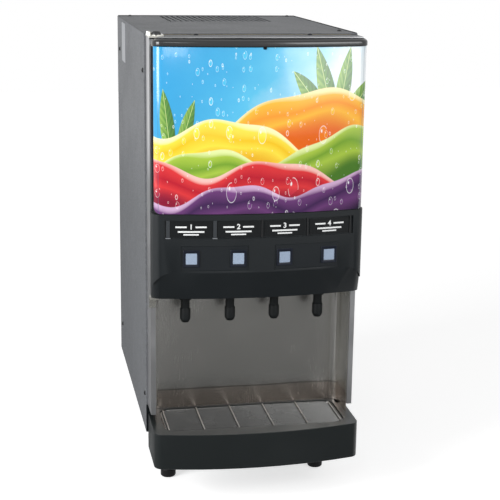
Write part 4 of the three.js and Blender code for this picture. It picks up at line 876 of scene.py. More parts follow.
def split_at(piece: bpy.types.Object, height: float) -> None:
    """Splits the faces of a piece at one height, so that they can have two finishes."""
    shape = bmesh.new()
    shape.from_mesh(piece.data)
    bmesh.ops.bisect_plane(
        shape, geom=[*shape.verts, *shape.edges, *shape.faces], plane_co=(0.0, 0.0, height), plane_no=(0.0, 0.0, 1.0),
    )
    shape.to_mesh(piece.data)
    shape.free()


def joined(name: str, meshes: Sequence[bpy.types.Mesh]) -> bpy.types.Mesh:
    """Puts several meshes into one."""
    shape = bmesh.new()
    for mesh in meshes:
        shape.from_mesh(mesh)
    whole = bpy.data.meshes.new(name)
    shape.to_mesh(whole)
    shape.free()
    return whole


def box(centre: Triple, half: Triple, edge: float = 0.0005) -> bpy.types.Mesh:
    """Makes an upright box with small chamfers round its top and its foot."""
    (x, y, z), (half_x, half_y, half_z) = centre, half
    rings = []
    corner = min(2 * edge, 0.8 * (min(half_x, half_y) - edge))
    for inset, rise in ((edge, -half_z), (0.0, edge - half_z), (0.0, half_z - edge), (edge, half_z)):
        outline = rounded_rectangle(half_x - inset, half_y - inset, corner, 2)
        rings.append([(x + px, y + py, z + rise) for px, py in outline])
    return loft("box", rings)


def turned(name: str, profile: Sequence[Pair], axis: Pair, steps: int = 40) -> bpy.types.Mesh:
    """Makes a round solid from a profile of radius and height, closed at both ends."""
    rings = [
        [
            (axis[0] + radius * math.cos(turn), axis[1] + radius * math.sin(turn), z)
            for turn in (math.tau * step / steps for step in range(steps))
        ]
        for radius, z in profile
    ]
    return loft(name, rings)


# Geometry node trees


class NodeShape:
    """A geometry node tree with named inputs, whose result becomes a plain mesh."""

    built: dict[str, bpy.types.NodeTree] = {}

    def __init__(self, name: str, inputs: dict[str, tuple[str, object]], write: Callable) -> None:
        """Keeps the recipe.

        Args:
            name: the tree's name.
            inputs: socket type and default of each named input.
            write: fills the tree and returns the geometry and its material socket.
        """
        self.name, self.inputs, self.write = name, inputs, write

    def tree(self) -> bpy.types.NodeTree:
        """Returns the tree, made on the first call."""
        if self.name not in self.built:
            tree = bpy.data.node_groups.new(self.name, "GeometryNodeTree")
            tree.interface.new_socket(name="Geometry", in_out="INPUT", socket_type="NodeSocketGeometry")
            tree.interface.new_socket(name="Material", in_out="INPUT", socket_type="NodeSocketMaterial")
            for name, (kind, default) in self.inputs.items():
                socket = tree.interface.new_socket(name=name, in_out="INPUT", socket_type=kind)
                socket.default_value = default
            tree.interface.new_socket(name="Geometry", in_out="OUTPUT", socket_type="NodeSocketGeometry")
            graph = Graph(tree)
            start, end = graph.add("NodeGroupInput"), graph.add("NodeGroupOutput")
            shape = self.write(graph, start.outputs)
            real = graph.add("GeometryNodeRealizeInstances", {0: shape})
            dressed = graph.add(
                "GeometryNodeSetMaterial", {"Geometry": real.outputs[0], "Material": start.outputs["Material"]},
            )
            graph.feed(end.inputs[0], dressed.outputs[0])
            self.built[self.name] = tree
        return self.built[self.name]

    def make(self, name: str, mesh: bpy.types.Mesh, finish: Finish, **values: object) -> bpy.types.Object:
        """Runs the tree on a mesh and returns the plain result.

        Args:
            name: the piece's name.
            mesh: the mesh that the tree starts from.
            finish: the finish that the tree sets.
            values: inputs by name, with spaces written as underscores.

        Returns:
            The piece with its modifier removed.
        """
        piece = link(name, mesh)
        modifier = piece.modifiers.new("shape", "NODES")
        modifier.node_group = self.tree()
        keys = {item.name: item.identifier for item in self.tree().interface.items_tree if item.in_out == "INPUT"}
        modifier[keys["Material"]] = finish.material()
        for key, value in values.items():
            modifier[keys[key.replace("_", " ").title()]] = value
        baked(piece)
        smoothed(piece.data, 0.6)
        return piece


def points_mesh(name: str, points: Sequence[Triple], facing: Sequence[Triple] | None = None) -> bpy.types.Mesh:
    """Makes a mesh of loose points, with the way that each one faces as an attribute."""
    mesh = bpy.data.meshes.new(name)
    mesh.from_pydata(points, [], [])
    attribute = mesh.attributes.new("facing", "FLOAT_VECTOR", "POINT")
    for item, way in zip(attribute.data, facing or [(0.0, 0.0, 1.0)] * len(points)):
        item.vector = way
    return mesh


def write_screws(graph: Graph, given: object) -> object:
    """Fills the screw tree: button heads with a hexagon socket, one on each point."""
    ball = graph.add("GeometryNodeMeshUVSphere", {"Segments": 18, "Rings": 10, "Radius": 1.0})
    size = graph.add(
        "ShaderNodeCombineXYZ", {0: given["Head Radius"], 1: given["Head Radius"], 2: given["Head Height"]},
    )
    dome = graph.add("GeometryNodeTransform", {"Geometry": ball.outputs[0], "Scale": size.outputs[0]})
    key = graph.add(
        "GeometryNodeMeshCylinder", {"Vertices": 6, "Radius": given["Socket Radius"], "Depth": given["Head Height"]},
    )
    lift = graph.add("ShaderNodeCombineXYZ", {2: given["Head Height"]})
    raised = graph.add("GeometryNodeTransform", {"Geometry": key.outputs[0], "Translation": lift.outputs[0]})
    head = graph.add("GeometryNodeMeshBoolean", {0: dome.outputs[0], 1: raised.outputs[0]}, operation="DIFFERENCE")
    way = graph.add("GeometryNodeInputNamedAttribute", {"Name": "facing"}, data_type="FLOAT_VECTOR")
    turn = graph.add("FunctionNodeAlignRotationToVector", {"Vector": way.outputs[0]}, axis="Z")
    placed = graph.add("GeometryNodeInstanceOnPoints", {
        "Points": given["Geometry"], "Instance": head.outputs[0], "Rotation": turn.outputs[0],
    })
    return placed.outputs[0]


def write_wires(graph: Graph, given: object) -> object:
    """Fills the wire tree: round wire along every edge line of the given mesh."""
    path = graph.add("GeometryNodeMeshToCurve", {"Mesh": given["Geometry"]})
    profile = graph.add("GeometryNodeCurvePrimitiveCircle", {"Resolution": 8, "Radius": given["Wire Radius"]})
    wire = graph.add(
        "GeometryNodeCurveToMesh",
        {"Curve": path.outputs[0], "Profile Curve": profile.outputs[0], "Fill Caps": True},
    )
    return wire.outputs[0]


def write_hoods(graph: Graph, given: object) -> object:
    """Fills the louvre tree: a quarter-round hood above each slot."""
    half = graph.math("MULTIPLY", given["Width"], 0.5)
    back = graph.math("MULTIPLY", half, -1.0)
    line = graph.add("GeometryNodeCurvePrimitiveLine", {
        "Start": graph.join(back, 0.0, 0.0), "End": graph.join(half, 0.0, 0.0),
    })
    arc = graph.add("GeometryNodeCurveArc", {
        "Resolution": 9, "Radius": given["Rise"], "Start Angle": 0.0, "Sweep Angle": math.pi / 2,
        "Connect Center": True,
    })
    hood = graph.add(
        "GeometryNodeCurveToMesh",
        {"Curve": line.outputs[0], "Profile Curve": arc.outputs[0], "Fill Caps": True},
    )
    placed = graph.add("GeometryNodeInstanceOnPoints", {"Points": given["Geometry"], "Instance": hood.outputs[0]})
    return placed.outputs[0]


def write_blades(graph: Graph, given: object) -> object:
    """Fills the plate tree: a thin upright plate on each point."""
    size = graph.join(given["Thickness"], given["Depth"], given["Height"])
    plate = graph.add("GeometryNodeMeshCube", {"Size": size})
    placed = graph.add("GeometryNodeInstanceOnPoints", {"Points": given["Geometry"], "Instance": plate.outputs[0]})
    return placed.outputs[0]


def write_ribs(graph: Graph, given: object) -> object:
    """Fills the rib tree: small upright ribs round each point's circle."""
    circle = graph.add("GeometryNodeMeshCircle", {"Vertices": given["Count"], "Radius": given["Radius"]})
    rib = graph.add("GeometryNodeMeshCylinder", {
        "Vertices": 6, "Radius": given["Rib Radius"], "Depth": given["Height"],
    })
    ring = graph.add("GeometryNodeInstanceOnPoints", {"Points": circle.outputs[0], "Instance": rib.outputs[0]})
    placed = graph.add("GeometryNodeInstanceOnPoints", {"Points": given["Geometry"], "Instance": ring.outputs[0]})
    return placed.outputs[0]


NUMBER = "NodeSocketFloat"
WHOLE = "NodeSocketInt"
SCREWS = NodeShape(
    "button_screws",
    {"Head Radius": (NUMBER, 0.004), "Head Height": (NUMBER, 0.002), "Socket Radius": (NUMBER, 0.0015)},
    write_screws,
)
WIRES = NodeShape("round_wires", {"Wire Radius": (NUMBER, 0.0012)}, write_wires)
HOODS = NodeShape("louvre_hoods", {"Width": (NUMBER, 0.12), "Rise": (NUMBER, 0.006)}, write_hoods)
PLATES = NodeShape(
    "thin_plates",
    {"Thickness": (NUMBER, 0.0004), "Depth": (NUMBER, 0.04), "Height": (NUMBER, 0.19)},
    write_blades,
)
RIBS = NodeShape(
    "grip_ribs",
    {"Count": (WHOLE, 36), "Radius": (NUMBER, 0.026), "Rib Radius": (NUMBER, 0.0008), "Height": (NUMBER, 0.01)},
    write_ribs,
)


def polylines(name: str, lines: Sequence[tuple[Sequence[Triple], bool]]) -> bpy.types.Mesh:
    """Makes a mesh of edge lines, each open or closed."""
    points: list[Triple] = []
    edges: list[tuple[int, int]] = []
    for line, closed in lines:
        first = len(points)
        points.extend(line)
        edges.extend((first + step, first + step + 1) for step in range(len(line) - 1))
        if closed:
            edges.append((len(points) - 1, first))
    mesh = bpy.data.meshes.new(name)
    mesh.from_pydata(points, edges, [])
    return mesh


# Bowed door outline


@dataclass
class Bow:
    """Outline of a piece with a bowed front and rounded front corners, seen from above."""

    half_width: float
    front_y: float
    back_y: float
    radius: float
    corner: float

    def face_y(self, x: float) -> float:
        """Returns the depth of the bowed front at a place across it."""
        return self.front_y + self.radius - math.sqrt(self.radius ** 2 - x * x)

    def outline(
        self, inset: float, front_steps: int = 36, corner_steps: int = 10, back_inset: float | None = None,
    ) -> list[Pair]:
        """Returns the outline from the rear left, round the front, to the rear right.

        Args:
            inset: how far the outline is moved inwards.
            front_steps: steps across the bow.
            corner_steps: steps round each front corner.
            back_inset: how far the rear end is moved forward, by default as far as the rest.
        """
        radius = self.radius - inset
        centre_y = self.front_y + self.radius
        side = self.half_width - inset
        round_ = max(self.corner - inset, 0.0004)
        reach = radius - round_
        centre_x = side - round_
        corner_y = centre_y - math.sqrt(reach ** 2 - centre_x ** 2)
        touch = math.atan2(centre_x, centre_y - corner_y)
        right: list[Pair] = []
        for step in range(corner_steps + 1):
            angle = touch + (math.pi / 2 - touch) * step / corner_steps
            right.append((centre_x + round_ * math.sin(angle), corner_y - round_ * math.cos(angle)))
        front: list[Pair] = []
        for step in range(front_steps + 1):
            angle = -touch + 2 * touch * step / front_steps
            front.append((radius * math.sin(angle), centre_y - radius * math.cos(angle)))
        left = [(-x, y) for x, y in reversed(right)]
        back = self.back_y - (inset if back_inset is None else back_inset)
        return [(-side, back), *left[:-1], *front, *right[1:], (side, back)]


@dataclass
class Bar:
    """A bowed bar or wall that stands upright, with its edges rounded."""

    bow: Bow
    low_z: float
    high_z: float

    def solid(self, name: str, edge: Pair, crown: Pair, steps: int = 7) -> bpy.types.Mesh:
        """Makes a solid bar.

        Args:
            name: the mesh's name.
            edge: inset and rise of the lower rounding.
            crown: inset and rise of the upper rounding.
            steps: steps of each rounding.
        """
        rings = []
        for step in range(steps + 1):
            angle = math.pi / 2 * step / steps
            inset, rise = edge[0] * (1 - math.sin(angle)), edge[1] * (1 - math.cos(angle))
            rings.append(ring_at(self.bow.outline(inset), self.low_z + rise))
        for step in range(steps + 1):
            angle = math.pi / 2 * step / steps
            inset, rise = crown[0] * (1 - math.cos(angle)), crown[1] * (1 - math.sin(angle))
            rings.append(ring_at(self.bow.outline(inset), self.high_z - rise))
        return loft(name, rings)

    def wall(self, name: str, thickness: float, edge: float) -> bpy.types.Mesh:
        """Makes a wall open to the rear, as thick as given."""
        rings = []
        for inset, z in (
            (edge, self.low_z), (edge * 0.3, self.low_z + edge * 0.3), (0.0, self.low_z + edge),
            (0.0, self.high_z - edge), (edge * 0.3, self.high_z - edge * 0.3), (edge, self.high_z),
        ):
            outer = self.bow.outline(inset, back_inset=0.0)
            inner = self.bow.outline(thickness - inset, back_inset=0.0)
            rings.append(ring_at([*outer, *reversed(inner)], z))
        return loft(name, rings)


def ring_at(outline: Sequence[Pair], z: float) -> list[Triple]:
    """Returns an outline as a ring at one height."""
    return [(x, y, z) for x, y in outline]


# Studio


@dataclass
class Studio:
    """Camera, soft lamps, white surroundings and the pale floor."""

    lens: float = 89.5815
    camera_place: Triple = (-0.4252, -2.3581, 0.9979)
    yaw: float = 0.195
    pitch: float = 0.244
    roll: float = 0.014
    floor_half: float = 6.0
    key_power: float = 66.0
    fill_power: float = 26.0
    glint_power: float = 3.0
    soft_level: float = 0.33

    def build(self) -> None:
        """Makes the whole studio."""
        self.place_camera()
        self.light_world()
        self.lay_floor()
        self.lay_mat("front_mat", (-2.2, 2.2), (-4.0, -0.34), 118)
        self.lay_mat("side_mat", (-1.6, -0.2), (-0.34, 3.2), 168)
        self.area_lamp("key_lamp", (-2.4, -1.3, 1.35), (1.3, 1.3), self.key_power)
        self.area_lamp("fill_lamp", (1.35, -2.35, 1.45), (1.3, 1.2), self.fill_power)
        self.area_lamp("glint_lamp", (-0.65, -2.3, 1.6), (0.4, 0.4), self.glint_power)
        bpy.context.scene.view_settings.view_transform = "Standard"
        LOG.info("studio built")

    def place_camera(self) -> None:
        """Puts the camera at the photograph's viewing angle."""
        yaw, pitch, roll = self.yaw, self.pitch, self.roll
        ahead = Vector((math.sin(yaw) * math.cos(pitch), math.cos(yaw) * math.cos(pitch), -math.sin(pitch)))
        right = Vector((math.cos(yaw), -math.sin(yaw), 0))
        up = right.cross(ahead)
        turned_right = math.cos(roll) * right + math.sin(roll) * up
        turned_up = -math.sin(roll) * right + math.cos(roll) * up
        rotation = Matrix((turned_right, turned_up, -ahead)).transposed().to_4x4()
        data = bpy.data.cameras.new("photo_camera")
        data.lens = self.lens
        data.sensor_fit = "HORIZONTAL"
        data.sensor_width = 36.0
        data.clip_end = 50.0
        camera = bpy.data.objects.new("photo_camera", data)
        camera.matrix_world = Matrix.Translation(self.camera_place) @ rotation
        bpy.context.scene.collection.objects.link(camera)
        bpy.context.scene.camera = camera

    def light_world(self) -> None:
        """Makes the surroundings white where they are seen, and softer where they light the object."""
        world = bpy.data.worlds.new("studio_world")
        bpy.context.scene.world = world
        world.use_nodes = True
        world.node_tree.nodes.clear()
        graph = Graph(world.node_tree)
        seen = seen_directly(graph)
        soft = graph.add("ShaderNodeBackground", {"Color": linear(255, 255, 255), "Strength": self.soft_level})
        white = graph.add("ShaderNodeBackground", {"Color": linear(255, 255, 255), "Strength": 1.0})
        mixed = graph.add("ShaderNodeMixShader", {0: seen, 1: soft.outputs[0], 2: white.outputs[0]})
        graph.add("ShaderNodeOutputWorld", {"Surface": mixed.outputs[0]})

    def lay_floor(self) -> None:
        """Lays the pale floor, which keeps the object's shadow."""
        half = self.floor_half
        mesh = bpy.data.meshes.new("floor")
        mesh.from_pydata([(-half, -half, 0), (half, -half, 0), (half, half, 0), (-half, half, 0)], [], [(0, 1, 2, 3)])
        floor = link("studio_floor", mesh)
        material = bpy.data.materials.new("studio_floor")
        material.use_nodes = True
        material.node_tree.nodes.clear()
        graph = Graph(material.node_tree)
        matt = graph.add("ShaderNodeBsdfDiffuse", {"Color": linear(226, 226, 226)})
        place = graph.add("ShaderNodeTexCoord").outputs["Object"]
        far = graph.add("ShaderNodeVectorMath", {0: place}, operation="LENGTH").outputs["Value"]
        level = graph.remap(far, 0.5, 4.0, (0.62, 0.8))
        glow = graph.add("ShaderNodeEmission", {"Color": linear(255, 255, 255), "Strength": level})
        none = graph.add("ShaderNodeEmission", {"Strength": 0.0})
        lit = graph.add("ShaderNodeMixShader", {0: seen_directly(graph), 1: none.outputs[0], 2: glow.outputs[0]})
        both = graph.add("ShaderNodeAddShader", {0: matt.outputs[0], 1: lit.outputs[0]})
        graph.add("ShaderNodeOutputMaterial", {"Surface": both.outputs[0]})
        mesh.materials.append(material)

    def lay_mat(self, name: str, across: Pair, along: Pair, tone: float) -> None:
        """Lays a grey mat that only the object's glossy faces mirror.

        Args:
            name: the mat's name.
            across: its limits along X.
            along: its limits along Y.
            tone: its screen grey.
        """
        mesh = bpy.data.meshes.new(name)
        (x0, x1), (y0, y1), high = across, along, MM
        mesh.from_pydata([(x0, y0, high), (x1, y0, high), (x1, y1, high), (x0, y1, high)], [], [(0, 1, 2, 3)])
        mat = link("studio_" + name, mesh)
        material = bpy.data.materials.new(name)
        material.use_nodes = True
        material.node_tree.nodes.clear()
        graph = Graph(material.node_tree)
        cloth = graph.add("ShaderNodeBsdfDiffuse", {"Color": linear(tone, tone, tone)})
        graph.add("ShaderNodeOutputMaterial", {"Surface": cloth.outputs[0]})
        mesh.materials.append(material)
        mat.visible_camera = mat.visible_shadow = mat.visible_diffuse = False

    def area_lamp(self, name: str, place: Triple, size: Pair, power: float) -> None:
        """Adds a soft lamp that looks at the object's middle."""
        data = bpy.data.lights.new(name, "AREA")
        data.shape = "RECTANGLE"
        data.size, data.size_y = size
        data.energy = power
        lamp = bpy.data.objects.new(name, data)
        lamp.location = place
        way = Vector((0.0, 0.0, 0.45)) - Vector(place)
        lamp.rotation_euler = way.to_track_quat("-Z", "Y").to_euler()
        bpy.context.scene.collection.objects.link(lamp)


def seen_directly(graph: Graph) -> bpy.types.NodeSocket:
    """Returns 1 for rays from the camera, from a mirror and through glass, and 0 for soft light."""
    path = graph.add("ShaderNodeLightPath").outputs
    seen = graph.math("MAXIMUM", path["Is Camera Ray"], path["Is Glossy Ray"])
    return graph.math("MAXIMUM", seen, path["Is Transmission Ray"])


# Sub-assemblies


@dataclass
class Cabinet:
    """Painted panels, frame, brackets and screws."""

    half_width: float = 0.1905
    front_y: float = -0.1995
    rear_y: float = 0.3055
    top_z: float = 0.840
    screw_radius: float = 0.0046
    screw_height: float = 0.0026
    socket_radius: float = 0.0019
    louvre_x: float = 0.084
    louvre_low_z: float = 0.196
    louvre_pitch: float = 0.017
    louvre_rows: int = 9
    cap_place: Pair = (-0.1740, -0.2415)
    cap_half: Pair = (0.0085, 0.0080)
    cap_low_z: float = 0.8413
    cap_height: float = 0.0064
    hinge_axis: Pair = (-0.1810, -0.2665)
    frame_foot: float = 0.162

    def is_fold_in_painted_shade(self, face: bpy.types.MeshPolygon) -> bool:
        """Says whether a face of a side panel is its folded front edge below the frame, which is painted matt black
        as shade.
        """
        forward = face.normal.y < -0.9 and face.center.y < self.front_y + 0.001
        return forward and face.center.z < self.frame_foot

    def build(self) -> None:
        """Makes and dresses the cabinet's pieces."""
        for node in ("left_side_panel", "right_side_panel"):
            panel = rounded_copy(node, 0.0009, HAMMERED_GREY)
            # Painted shade: the folded front edge below the frame's foot is made matt black.
            split_at(panel, self.frame_foot)
            repaint(panel, MATT_BLACK, self.is_fold_in_painted_shade)
        rounded_copy("top_panel", 0.0005, HAMMERED_GREY, join_flats=False)
        frame_piece = rounded_copy("front_frame", 0.0008, FRAME_STEEL)
        frame_top = self.top_z - 0.0035
        repaint(frame_piece, HAMMERED_GREY, lambda face: face.center.z > frame_top and face.normal.z > 0.9)
        rounded_copy("lower_front_panel", 0.0006, BLACK_PLASTIC)
        dress(("rear_panel", "base_pan", "equipment_shelf"), GALVANISED)
        dress(("water_inlet_fitting",), BRASS)
        dress(("power_inlet",), BLACK_PLASTIC)
        self.hinges()
        self.fold_shade_bead()
        self.rating_plate()
        self.screws()
        self.louvres()

    def hinges(self) -> None:
        """Dresses the hinge brackets, and makes the domed cover and the bushing of the upper one."""
        for node in ("upper_hinge_bracket", "lower_hinge_bracket"):
            rounded_copy(node, 0.0005, ZINC)
        rings = []
        for share, inset in (
            (0.0, 0.0), (0.3, 0.0001), (0.55, 0.0008), (0.76, 0.0021), (0.91, 0.0039), (1.0, 0.0062),
        ):
            half_x, half_y = self.cap_half[0] - inset, self.cap_half[1] - inset
            rings.append([
                (self.cap_place[0] + x, self.cap_place[1] + y, self.cap_low_z + share * self.cap_height)
                for x, y in rounded_rectangle(half_x, half_y, half_y - 0.0002, 7)
            ])
        cap = link("hinge_cap_dressed", loft("hinge_cap_dome", rings))
        smoothed(cap.data, 0.9)
        fit(cap, BLACK_PLASTIC, "cabinet", ("hinge_cap",))
        x, y = self.hinge_axis
        washer = [
            [(x + px, y + py, z) for px, py in rounded_rectangle(radius, radius, radius - 0.0001, 8)]
            for radius, z in ((0.0066, 0.8361), (0.007, 0.8365), (0.007, 0.8378), (0.0066, 0.8382))
        ]
        bushing = link("hinge_bushing", loft("hinge_bushing", washer))
        smoothed(bushing.data, 0.7)
        fit(bushing, MATT_BLACK, "door")

    def fold_shade_bead(self) -> None:
        """Adds a dark wire along the top panel's rear and right edges, a painted shade of the rounded fold there."""
        side, front, rear, z = (
            self.half_width - 0.0013, self.front_y + 0.004, self.rear_y - 0.0013, self.top_z + 0.0002,
        )
        line = polylines("fold_shade_line", [([(-side, rear, z), (side, rear, z), (side, front, z)], False)])
        fit(WIRES.make("top_panel_fold_shade", line, MATT_BLACK, wire_radius=0.0011), None)

    def rating_plate(self) -> None:
        """Adds the bare pale plate on the left side panel."""
        (y0, y1), (z0, z1) = (0.133, 0.203), (0.757, 0.834)
        middle = ((y0 + y1) / 2, (z0 + z1) / 2)
        rings = [
            [
                (-self.half_width - lift, middle[0] + y, middle[1] + z)
                for y, z in rounded_rectangle((y1 - y0) / 2 - inset, (z1 - z0) / 2 - inset, 0.004 - inset)
            ]
            for lift, inset in ((-0.0001, 0.0), (0.0004, 0.0), (0.0006, 0.0003))
        ]
        fit(link("side_plate", loft("side_plate", rings)), PALE_LABEL_AND_LEDGE_HIGHLIGHT)

    def screws(self) -> None:
        """Adds the button-head screws of the panels and of the frame."""
        points: list[Triple] = []
        ways: list[Triple] = []
        sides = [(-1.0, 0.0, 0.0), (1.0, 0.0, 0.0)]
        for way in sides:
            for y, z in ((0.014, 0.776), (0.450, 0.776), (0.014, 0.180), (0.450, 0.180)):
                points.append((way[0] * self.half_width, self.front_y + y, z))
                ways.append(way)
        for x, y in ((-0.165, 0.297), (0.173, 0.297), (0.1725, -0.1407)):
            points.append((x, y, self.top_z))
            ways.append((0.0, 0.0, 1.0))
        for x in (-0.101, 0.101):
            points.append((x, -0.209, 0.838))
            ways.append((0.0, 0.0, 1.0))
        for x in (-0.17, 0.17):
            for z in (0.13, 0.40, 0.60, 0.81):
                points.append((x, 0.3037, z))
                ways.append((0.0, 1.0, 0.0))
        mesh = points_mesh("screw_places", points, ways)
        piece = SCREWS.make(
            "panel_screws", mesh, BLACK_SCREW, head_radius=self.screw_radius, head_height=self.screw_height,
            socket_radius=self.socket_radius,
        )
        fit(piece, None)

    def louvres(self) -> None:
        """Adds the pressed hoods over the rear slots."""
        points = [
            (side * self.louvre_x, 0.3037, self.louvre_low_z + row * self.louvre_pitch + 0.003)
            for side in (-1, 1) for row in range(self.louvre_rows)
        ]
        piece = HOODS.make(
            "rear_louvre_hoods", points_mesh("louvre_places", points), GALVANISED, width=0.124, rise=0.006,
        )
        fit(piece, None)


@dataclass
class Door:
    """Door pan, liner, seal, bowed picture shell and gloss rail."""

    shell: Bar
    rail: Bar

    def build(self) -> None:
        """Makes and dresses the door's pieces."""
        pan = rounded_copy("door_frame", 0.0005, GALVANISED, "door")
        repaint(pan, MATT_BLACK, lambda face: face.normal.z > 0.9 and face.center.z > 0.83)
        rounded_copy("door_liner", 0.003, LINER_WHITE, "door", segments=3)
        dress(("door_gasket",), GASKET_GREY)
        self.picture_shell()
        self.gloss_rail()

    def picture_shell(self) -> None:
        """Makes the bowed shell with the printed front and black sides."""
        piece = link("graphic_panel_dressed", self.shell.wall("picture_shell", 0.0024, 0.0008))
        smoothed(piece.data, 0.5)
        fit(piece, DOOR_PICTURE, "door", ("graphic_panel",))
        repaint(piece, MATT_BLACK, lambda face: abs(face.normal.x) > 0.97 or face.normal.y > 0.5)

    def gloss_rail(self) -> None:
        """Makes the rail with a full round front, and the catch under its middle."""
        piece = link("top_trim_dressed", self.rail.solid("gloss_rail", (0.0012, 0.0012), (0.009, 0.0065)))
        smoothed(piece.data, 0.5)
        fit(piece, TRIM_BLACK, "door", ("top_trim",))
        repaint(piece, MATT_BLACK, lambda face: face.normal.z > 0.93)
        front, low = self.shell.bow.front_y, self.rail.low_z
        rings = [
            [
                (x, front - lift, low - 0.0016 + z)
                for x, z in rounded_rectangle(0.0030 - inset, 0.0022 - inset, 0.0014)
            ]
            for lift, inset in ((-0.0005, 0.0), (0.0010, 0.0), (0.0014, 0.0004))
        ]
        fit(link("rail_catch", loft("rail_catch", rings)), MATT_BLACK, "door")


@dataclass
class OperatingPanel:
    """Black bowed panel with its cards, keypads and buttons."""

    face: Bow
    pitch: float = 0.0815
    recess_z: Pair = (0.499, 0.531)
    card_depth: float = 0.0015
    keypad_z: float = 0.464
    plate_front: float = 0.0011
    bezel_half: Pair = (0.0142, 0.0150)
    bezel_opening: float = 0.0098
    rib_places: Pair = (-1.98, -1.0)
    rib_half: float = 0.0030
    rib_depths: Pair = (0.0030, 0.0010)
    line_half: float = 0.0011
    # Half width and depths of the pale strips that are painted highlights on the ledges under the ribs.
    ledge_highlight_half: float = 0.0042
    ledge_highlight_depths: Pair = (0.0030, 0.0004)
    line_places: Triple = (0.0, 1.0, 1.98)

    def build(self) -> None:
        """Makes and dresses the panel's pieces."""
        rounded_copy("fascia", 0.0012, FASCIA_BLACK, "door", segments=3)
        for index in range(1, 5):
            dress((f"label_card_{index}",), LABEL_BLACK)
            rounded_copy(f"dispense_button_{index}", 0.0009, BUTTON_LENS, f"dispense_button_{index}")
        dress(("keypad_left", "keypad_right"), KEYPAD_BLUE)
        dress(("button_board",), BOARD_GREEN)
        self.dividers()
        self.card_prints()
        self.bezels()

    def strip(self, across: Pair, up: Pair, depths: Pair, steps: int = 4) -> bpy.types.Mesh:
        """Makes a bar that follows the bowed face.

        Args:
            across: its limits along X.
            up: its limits along Z.
            depths: its back and its front, measured behind the face.
            steps: steps across it.
        """
        rings = []
        for step in range(steps + 1):
            x = across[0] + (across[1] - across[0]) * step / steps
            back, front = self.face.face_y(x) + depths[0], self.face.face_y(x) + depths[1]
            rings.append([(x, back, up[0]), (x, front, up[0]), (x, front, up[1]), (x, back, up[1])])
        return loft("bowed_strip", rings)

    def dividers(self) -> None:
        """Adds the two ribs, the pale strips under them that are painted highlights of the lit ledges, and the thin
        lines, between the cards.
        """
        low, high = self.recess_z
        ribs, lines, ledge_highlights = [], [], []
        for place in self.rib_places:
            x = place * self.pitch
            rib, ledge_highlight = (x - self.rib_half, x + self.rib_half), (x - self.ledge_highlight_half, x + self.ledge_highlight_half)
            ribs.append(self.strip(rib, (low + 0.0012, high - 0.0004), self.rib_depths))
            # Painted highlight: a pale strip along the bottom ledge at each rib, where light catches it.
            ledge_highlights.append(self.strip(ledge_highlight, (low - 0.0002, low + 0.0010), self.ledge_highlight_depths))
        for place in self.line_places:
            x = place * self.pitch
            line = (x - self.line_half, x + self.line_half)
            lines.append(self.strip(line, (low + 0.0004, high - 0.0004), self.rib_depths))
        fit(link("card_ribs", joined("card_ribs", ribs)), RIB_GREY, "door")
        fit(link("card_lines", joined("card_lines", lines)), CHIP_BLACK, "door")
        fit(link("card_ledge_highlights", joined("card_ledge_highlights", ledge_highlights)), PALE_LABEL_AND_LEDGE_HIGHLIGHT, "door")

    def card_prints(self) -> None:
        """Prints a plain number over two plain bars on each card."""
        depths = (self.card_depth + 0.0002, self.card_depth - 0.0001)
        middle = sum(self.recess_z) / 2
        parts = []
        for index in range(4):
            x = (index - 1.5) * self.pitch
            for half, low, high in ((0.0225, -0.0052, -0.0024), (0.0130, -0.0100, -0.0076)):
                parts.append(self.strip((x - half, x + half), (middle + low, middle + high), depths, 8))
            for side in (-1, 1):
                ends = sorted((x + side * 0.0075, x + side * 0.0265))
                parts.append(self.strip((ends[0], ends[1]), (middle + 0.0030, middle + 0.0058), depths))
            parts.append(self.numeral(str(index + 1), x, middle + 0.0045, depths))
        fit(link("card_prints", joined("card_prints", parts)), LABEL_WHITE, "door")

    def numeral(self, text: str, x: float, z: float, depths: Pair) -> bpy.types.Mesh:
        """Makes a plain numeral that lies on a card."""
        curve = bpy.data.curves.new("numeral_" + text, "FONT")
        curve.body, curve.size, curve.extrude = text, 0.0125, 0.5
        curve.align_x, curve.align_y = "CENTER", "CENTER"
        curve.offset = 0.0003
        holder = link("numeral_" + text, curve)
        mesh = bpy.data.meshes.new_from_object(holder.evaluated_get(bpy.context.evaluated_depsgraph_get()))
        bpy.data.objects.remove(holder)
        for vertex in mesh.vertices:
            across, up, front = vertex.co
            depth = depths[1] if front > 0 else depths[0]
            vertex.co = (x + across, self.face.face_y(x + across) + depth, z + up)
        return mesh

    def bezels(self) -> None:
        """Adds the blue-black frame round each button."""
        meshes = []
        (half_x, half_z), inner = self.bezel_half, self.bezel_opening
        # Inset from the outer edge is given as the half sizes, and depth is behind the keypad's tangent plane
        section = (
            (half_x, half_z, self.plate_front), (half_x, half_z, -0.0005),
            (half_x - 0.0004, half_z - 0.0004, -0.0009),
            (inner + 0.0006, inner + 0.0006, -0.0009), (inner, inner, -0.0006), (inner, inner, -0.00035),
            (inner + 0.0014, inner + 0.0014, -0.00035), (inner + 0.0014, inner + 0.0014, self.plate_front),
        )
        for side in (-1, 1):
            centre = side * self.pitch
            turn = Matrix.Rotation(side * math.asin(self.pitch / self.face.radius), 4, "Z")
            place = Matrix.Translation((centre, self.face.face_y(centre), self.keypad_z)) @ turn
            for local in (-self.pitch / 2, self.pitch / 2):
                rings = [
                    [
                        tuple(place @ Vector((local + x, depth, z)))
                        for x, z in rounded_rectangle(wide, high, 0.0012, 3)
                    ]
                    for wide, high, depth in section
                ]
                meshes.append(loft("bezel", rings, looped=True))
        piece = link("button_bezels", joined("button_bezels", meshes))
        smoothed(piece.data, 0.5)
        fit(piece, BEZEL_BLUE, "door")


